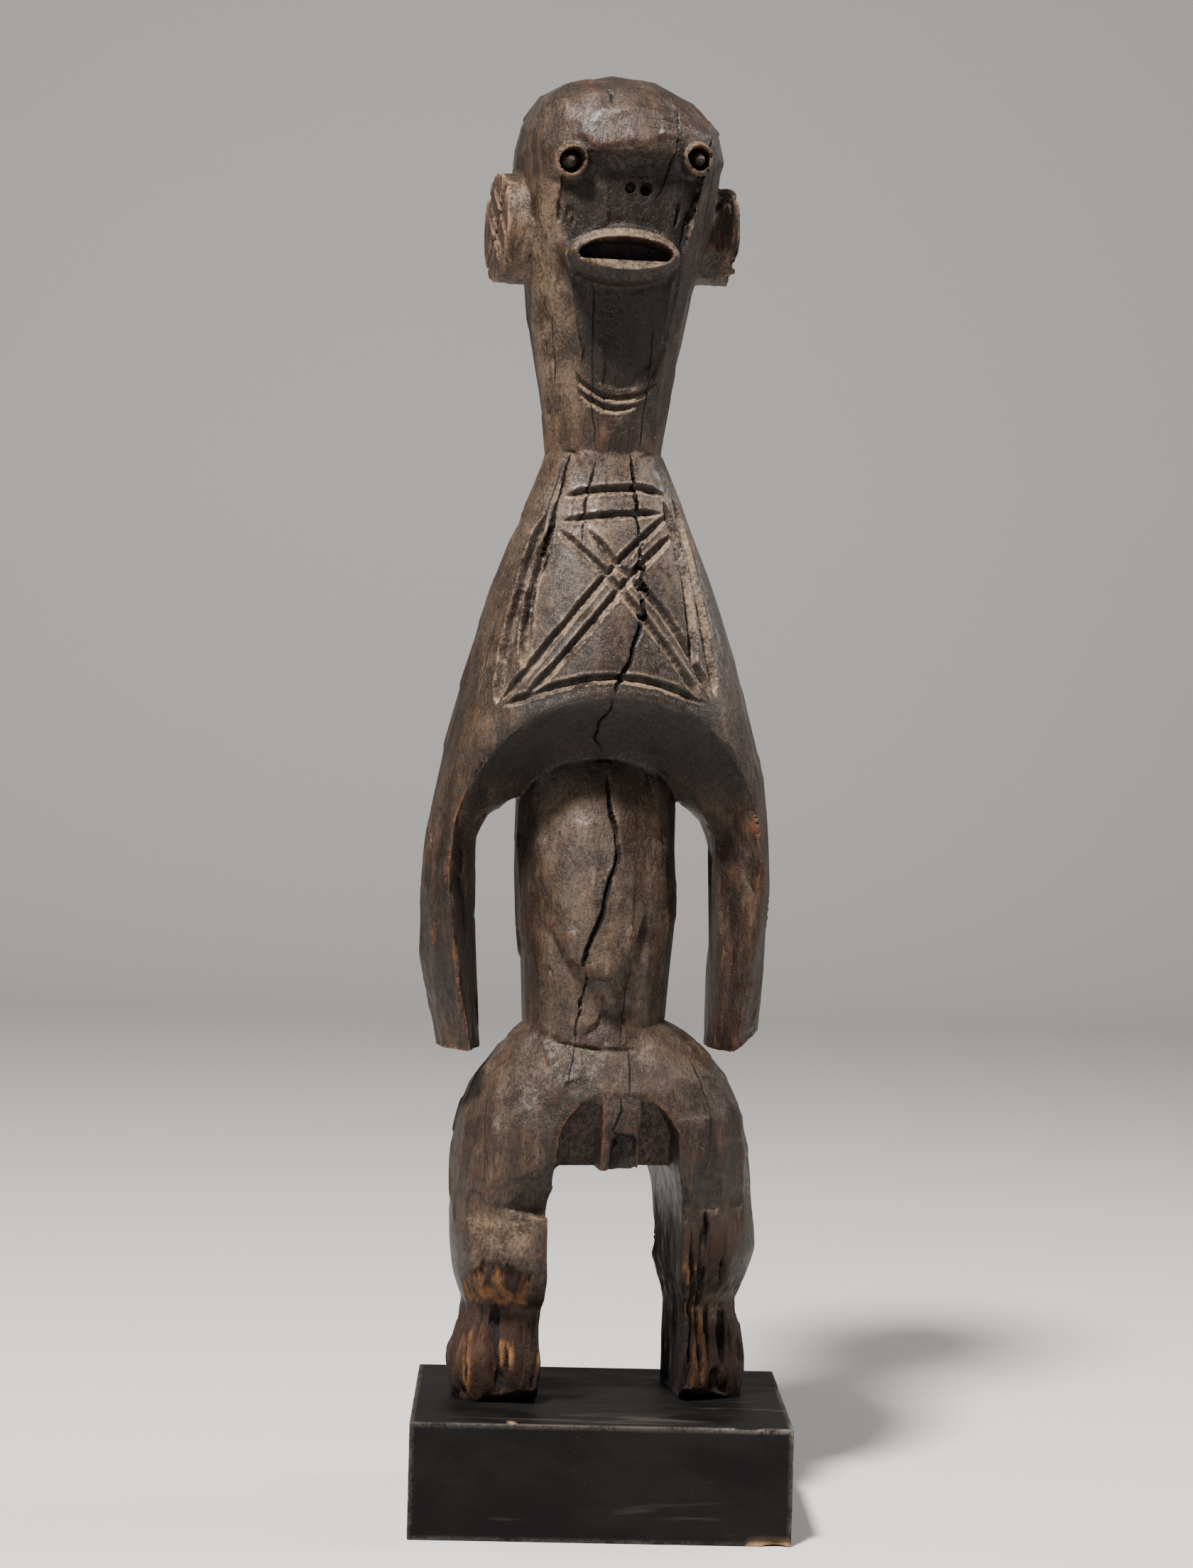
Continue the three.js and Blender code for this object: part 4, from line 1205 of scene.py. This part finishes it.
def dress(nodes, takes, colour, roughness, height, strength, relief):
    """Feeds a Principled shader with its colour, roughness and relief."""
    raised = nodes.put("ShaderNodeBump", {"Strength": strength, "Distance": relief, "Height": height})
    nodes.feed(takes["Base Color"], colour)
    nodes.feed(takes["Roughness"], roughness)
    nodes.feed(takes["Normal"], raised.outputs[0])


def tints(looks_of, *names):
    """The colours that the settings hold under these names."""
    return [(*getattr(looks_of, name), 1) for name in names]


def old_wood(looks_of):
    """Dark, handled wood: patina, rubbed red edges, pale dust with painted light, raw rotten wood, painted
    shade in hollows and recesses, and black cracks.
    """
    made, nodes, takes = material("old_wood")
    dark, brown, dry, black, red, dust_and_light, raw, stained = tints(
        looks_of, "dark_wood", "brown_wood", "dry_wood", "black_wood", "red_wood", "dust_and_light", "raw_wood",
        "raw_dark",
    )
    place, stored, between = nodes.place(), nodes.stored, nodes.between
    grain = nodes.shared("Upright grain", {"Place": place})
    rub = nodes.shared("Rub and dust", {
        "Place": place, "Edge": stored("edge"), "Hollow": stored("hollow"), "Dust and light": stored("dust_and_light"),
    })
    crack = nodes.shared("Drying crack", {
        "Place": place, "Offset": stored("crack_offset"), "Distance": stored("crack_near"),
        "Half width": stored("crack_width"),
    })["Crack"]
    broad = nodes.cloud(place, 38, 5, 0.6, (1, 1, 0.5), 0.4)
    mottle = nodes.cloud(place, 260, 6, 0.7, (1, 1, 0.45))
    pits = nodes.cloud(place, 620, 4, 0.7, (1, 1, 0.6))
    fresh = nodes.times(stored("fresh"), between(grain["Streak"], 0.62, 0.40))
    # Rotten wood goes black in its hollows: painted shade
    rotten_wood = nodes.coated(stained, (fresh, raw), (between(stored("hollow"), 0.25, 0.8), black))
    torn = nodes.times(stored("rot"), between(mottle, 0.28, 0.48))
    colour = nodes.coated(
        dark,
        (between(broad, 0.36, 0.64), brown),
        (between(mottle, 0.48, 0.70, 0, 0.55), dry),
        (between(grain["Streak"], 0.40, 0.62, 0.60, 0), black),
        (between(grain["Fibre"], 0.36, 0.60, 0.50, 0), black),
        (between(pits, 0.36, 0.50, 0.65, 0), black),
        (nodes.times(rub["Rubbed"], 0.75), red),
        # Pale dust, which also stands for painted light on the lit walls of the cuts and on the top of the
        # mouth's rim
        (nodes.times(rub["Dusty and lit"], 0.75), dust_and_light),
        (torn, rotten_wood),
        # Painted shade, laid on as black
        (nodes.times(stored("painted_shade"), 0.90), black),
        # Painted shade in the hollows, laid on as black
        (between(stored("hollow"), 0.45, 1.0, 0, 0.6), black),
        (nodes.times(crack, 0.96), CRACK_COLOUR),
    )
    matt = nodes.math("MAXIMUM", nodes.math("MAXIMUM", rub["Dusty and lit"], torn), nodes.times(crack, 2.0))
    shine = between(mottle, 0.35, 0.7, looks_of.shine, looks_of.shine + 0.22)
    shine = nodes.add(nodes.add(shine, (stored("polish"), -0.14)), (matt, 0.35), clamp=True)
    height = nodes.add(
        0.0, (grain["Fibre"], 0.30), (grain["Streak"], 0.5), (grain["Pores"], -0.35), (mottle, 0.55),
        (between(pits, 0.34, 0.52), 0.45), (nodes.cloud(place, 1500, 3, 0.65), 0.45), (crack, -0.5),
    )
    dress(nodes, takes, colour, shine, height, 0.9, looks_of.relief)
    wax = nodes.times(stored("polish"), between(mottle, 0.62, 0.42, 0.1, 0.5))
    nodes.feed(takes["Coat Weight"], wax)
    takes["Coat Roughness"].default_value = 0.40
    takes["Specular IOR Level"].default_value = 0.32
    return made


def black_paint(looks_of):
    """Matt black paint with brush marks, pale specks and bare wood where it is knocked."""
    made, nodes, takes = material("black_paint")
    paint, worn, pale, bare = tints(looks_of, "paint", "worn_paint", "pale", "bare_wood")
    place, between = nodes.place(), nodes.between
    rub = nodes.shared("Rub and dust", {"Place": place, "Edge": nodes.stored("edge")})
    turned = nodes.put("ShaderNodeMapping", {"Vector": place, "Rotation": (0, math.radians(90), 0)})
    grain = nodes.shared("Upright grain", {"Place": turned.outputs[0], "Fineness": 0.8})
    patch = nodes.cloud(place, 45, 5, 0.6, (0.5, 1, 1))
    colour = nodes.coated(
        paint,
        (between(patch, 0.4, 0.65), worn),
        (between(nodes.cloud(place, 1300, 2, 0.5), 0.73, 0.78, 0, 0.4), pale),
        (nodes.times(rub["Rubbed"], 0.8), pale),
        (between(grain["Streak"], 0.58, 0.72, 0, 0.22), pale),
        (nodes.stored("bare"), bare),
    )
    height = nodes.add(grain["Streak"], (grain["Fibre"], 0.5))
    dress(nodes, takes, colour, between(patch, 0.35, 0.7, 0.52, 0.70), height, 0.7, looks_of.relief)
    takes["Specular IOR Level"].default_value = 0.12
    return made


def plain(name, colour, roughness):
    """A material of one colour."""
    made, _, takes = material(name)
    takes["Base Color"].default_value = (*colour, 1)
    takes["Roughness"].default_value = roughness
    return made


# Settings that a user would change

def colour_of(name, text, value):
    """A colour that a user can change."""
    return bpy.props.FloatVectorProperty(
        name=name, description=text, subtype="COLOR", size=3, min=0, max=1, default=value,
    )


def length_of(name, text, value):
    """A length that a user can change."""
    return bpy.props.FloatProperty(
        name=name, description=text, default=value, min=0, unit="LENGTH", precision=5,
    )


class FigureLooks(bpy.types.PropertyGroup):
    voxel: length_of("Cutting pitch", "Size of the cells that the figure is carved in", 0.00066)
    triangles: bpy.props.IntProperty(
        name="Triangles", description="Triangles that the finished figure keeps", default=196000, min=20000,
    )
    relief: length_of("Grain relief", "Height of the grain and pores", 0.00045)
    shine: bpy.props.FloatProperty(
        name="Roughness", description="Roughness of the handled wood", default=0.36, min=0, max=1,
        subtype="FACTOR",
    )
    dark_wood: colour_of("Dark wood", "The darker of the two patinas", (0.019, 0.0102, 0.0061))
    brown_wood: colour_of("Brown wood", "The lighter of the two patinas", (0.062, 0.035, 0.0205))
    dry_wood: colour_of("Dry wood", "Wood that has lost its wax", (0.125, 0.082, 0.054))
    # Black: the dark of the grain and pores, and painted shade in hollows, recesses and openings
    black_wood: colour_of("Black", "Dark grain, and painted shade in recesses", (0.0058, 0.0036, 0.0026))
    red_wood: colour_of("Rubbed edge", "Red-brown wood on rubbed edges", (0.15, 0.055, 0.022))
    # Dust: pale dust in the cuts and on the forms, and painted light on the lit walls of the cuts and on the
    # top of the mouth's rim
    dust_and_light: colour_of("Dust and light", "Pale dust, and painted light on lit walls of the cuts", (0.3, 0.205, 0.13))
    raw_wood: colour_of("Raw wood", "Rotten wood without patina", (0.36, 0.16, 0.055))
    raw_dark: colour_of("Raw wood, dark", "Stained rotten wood", (0.027, 0.0112, 0.006))


class BlockLooks(bpy.types.PropertyGroup):
    edge: length_of("Edge", "Softening of the block's edges", 0.0006)
    relief: length_of("Brush marks", "Height of the brush marks", 0.00022)
    paint: colour_of("Paint", "Black paint", (0.003, 0.0027, 0.0027))
    worn_paint: colour_of("Worn paint", "Paint where it is thin", (0.0075, 0.0066, 0.0062))
    pale: colour_of("Rubbed paint", "Pale rubbed edges and specks", (0.15, 0.13, 0.112))
    bare_wood: colour_of("Bare wood", "Wood in the chips", (0.420, 0.250, 0.130))


class StageLooks(bpy.types.PropertyGroup):
    floor: colour_of("Floor", "The floor and backdrop", (0.7, 0.69, 0.68))
    key: bpy.props.FloatProperty(
        name="Key light", description="Power of the main light", default=76.0, min=0, unit="POWER",
    )
    fill: bpy.props.FloatProperty(
        name="Sky", description="Strength of the light from all round", default=0.07, min=0,
    )


# The camera of the photo: place in metres, turn, tilt and roll in degrees, and lens on a 36 mm frame
CAMERA = {"place": (-0.0324, -1.2037, 0.2993), "turn": -1.22, "tilt": 1.15, "roll": 1.44, "lens": 73.1}


def finish_piece(mesh, name, node, finish):
    """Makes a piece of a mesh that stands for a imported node."""
    mesh.materials.clear()
    mesh.materials.append(finish)
    mesh.shade_smooth()
    mesh.set_sharp_from_angle(angle=SHARP_ANGLE)
    piece = bpy.data.objects.new(name, mesh)
    bpy.context.collection.objects.link(piece)
    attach(piece, "root")
    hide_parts(node)


class CARVING_OT_figure(bpy.types.Operator):
    """Carve the figure's relief and give it its patina"""

    bl_idname = "carving.figure"
    bl_label = "Carve the figure"

    def execute(self, context):
        looks_of = context.scene.carving_figure
        mesh = carve(looks_of.voxel, looks_of.triangles)
        finish_piece(mesh, "carved_figure", "figure", old_wood(looks_of))
        return {"FINISHED"}


class CARVING_OT_block(bpy.types.Operator):
    """Make the black block with its knocks and brush marks"""

    bl_idname = "carving.block"
    bl_label = "Make the block"

    def execute(self, context):
        looks_of = context.scene.carving_block
        mesh = block_mesh(looks_of.edge, CORNER_REACH)
        finish_piece(mesh, "black_block", "plinth", black_paint(looks_of))
        return {"FINISHED"}


class CARVING_OT_stage(bpy.types.Operator):
    """Set the floor, the lights and the camera"""

    bl_idname = "carving.stage"
    bl_label = "Set the stage"

    def execute(self, context):
        looks_of = context.scene.carving_stage
        sweep(looks_of.floor)
        lights(looks_of)
        camera()
        return {"FINISHED"}


def sweep(colour):
    """A floor that curves up into a backdrop."""
    rise, back, width, steps = 0.6, 2.6, 4.0, 16
    section = [(-3.0, 0.0), (back - rise, 0.0)]
    for k in range(1, steps + 1):
        angle = math.pi / 2 * k / steps
        section.append((back - rise + rise * math.sin(angle), rise - rise * math.cos(angle)))
    section.append((back, 3.2))
    points = [(side * width, y, z) for y, z in section for side in (-1, 1)]
    faces = [(2 * k, 2 * k + 1, 2 * k + 3, 2 * k + 2) for k in range(len(section) - 1)]
    mesh = bpy.data.meshes.new("floor")
    mesh.from_pydata(points, [], faces)
    mesh.shade_smooth()
    mesh.materials.append(plain("floor", colour, 0.85))
    floor = bpy.data.objects.new("floor", mesh)
    bpy.context.collection.objects.link(floor)


# The lamps: place in metres, size, share of the key light's power, and tint
LAMPS = (
    ("key", (-0.37, -0.72, 1.58), 0.22, 1.0, (1, 0.965, 0.92)),
    ("rim", (0.95, 0.20, 0.85), 0.35, 0.1, (1, 0.97, 0.95)),
    ("fill", (-0.9, -1.5, 0.5), 1.2, 0.05, (0.95, 0.97, 1)),
)
LAMP_AIM = (0, 0, 0.3)


def lamp(name, place, size, power, colour):
    """A round soft lamp that shines on the middle of the figure."""
    data = bpy.data.lights.new(name, "AREA")
    data.shape, data.size, data.energy, data.color = "DISK", size, power, colour
    light = bpy.data.objects.new(name, data)
    light.location = place
    light.rotation_euler = (Vector(LAMP_AIM) - Vector(place)).to_track_quat("-Z", "Y").to_euler()
    bpy.context.collection.objects.link(light)


def lights(looks_of):
    """The lamps, and a faint even light from all round."""
    for name, place, size, share, colour in LAMPS:
        lamp(name, place, size, looks_of.key * share, colour)
    world = bpy.data.worlds.new("studio")
    world.use_nodes = True
    sky = world.node_tree.nodes["Background"]
    sky.inputs["Color"].default_value = (1, 1, 1, 1)
    sky.inputs["Strength"].default_value = looks_of.fill
    bpy.context.scene.world = world


def camera():
    """The camera at the photo's angle."""
    turn, tilt, roll = (math.radians(CAMERA[key]) for key in ("turn", "tilt", "roll"))
    ahead = Vector((-math.sin(turn) * math.cos(tilt), math.cos(turn) * math.cos(tilt), -math.sin(tilt)))
    level = Vector((math.cos(turn), math.sin(turn), 0))
    upright = level.cross(ahead)
    right = level * math.cos(roll) + upright * math.sin(roll)
    up = upright * math.cos(roll) - level * math.sin(roll)
    data = bpy.data.cameras.new("camera")
    data.lens, data.sensor_width, data.sensor_fit = CAMERA["lens"], 36, "AUTO"
    data.clip_start, data.clip_end = 0.05, 20
    seen = bpy.data.objects.new("camera", data)
    facing = Matrix((right, up, -ahead)).transposed().to_4x4()
    seen.matrix_world = Matrix.Translation(CAMERA["place"]) @ facing
    bpy.context.collection.objects.link(seen)
    bpy.context.scene.camera = seen


class CARVING_PT_panel(bpy.types.Panel):
    """The carving's steps and settings"""

    bl_label = "Carving"
    bl_space_type = "VIEW_3D"
    bl_region_type = "UI"
    bl_category = "Carving"

    def draw(self, context):
        for operator, settings in STEPS:
            box = self.layout.box()
            box.operator(operator)
            looks_of = getattr(context.scene, settings)
            for name in looks_of.__annotations__:
                box.prop(looks_of, name)


STEPS = (
    ("carving.figure", "carving_figure"),
    ("carving.block", "carving_block"),
    ("carving.stage", "carving_stage"),
)
SETTINGS = {"carving_figure": FigureLooks, "carving_block": BlockLooks, "carving_stage": StageLooks}
CLASSES = (*SETTINGS.values(), CARVING_OT_figure, CARVING_OT_block, CARVING_OT_stage, CARVING_PT_panel)


def register():
    for one in CLASSES:
        bpy.utils.register_class(one)
    for name, kind in SETTINGS.items():
        setattr(bpy.types.Scene, name, bpy.props.PointerProperty(type=kind))


def unregister():
    for name in SETTINGS:
        delattr(bpy.types.Scene, name)
    for one in reversed(CLASSES):
        bpy.utils.unregister_class(one)


def main():
    register()
    bpy.ops.carving.figure()
    bpy.ops.carving.block()
    bpy.ops.carving.stage()


if __name__ == "__main__":
    main()
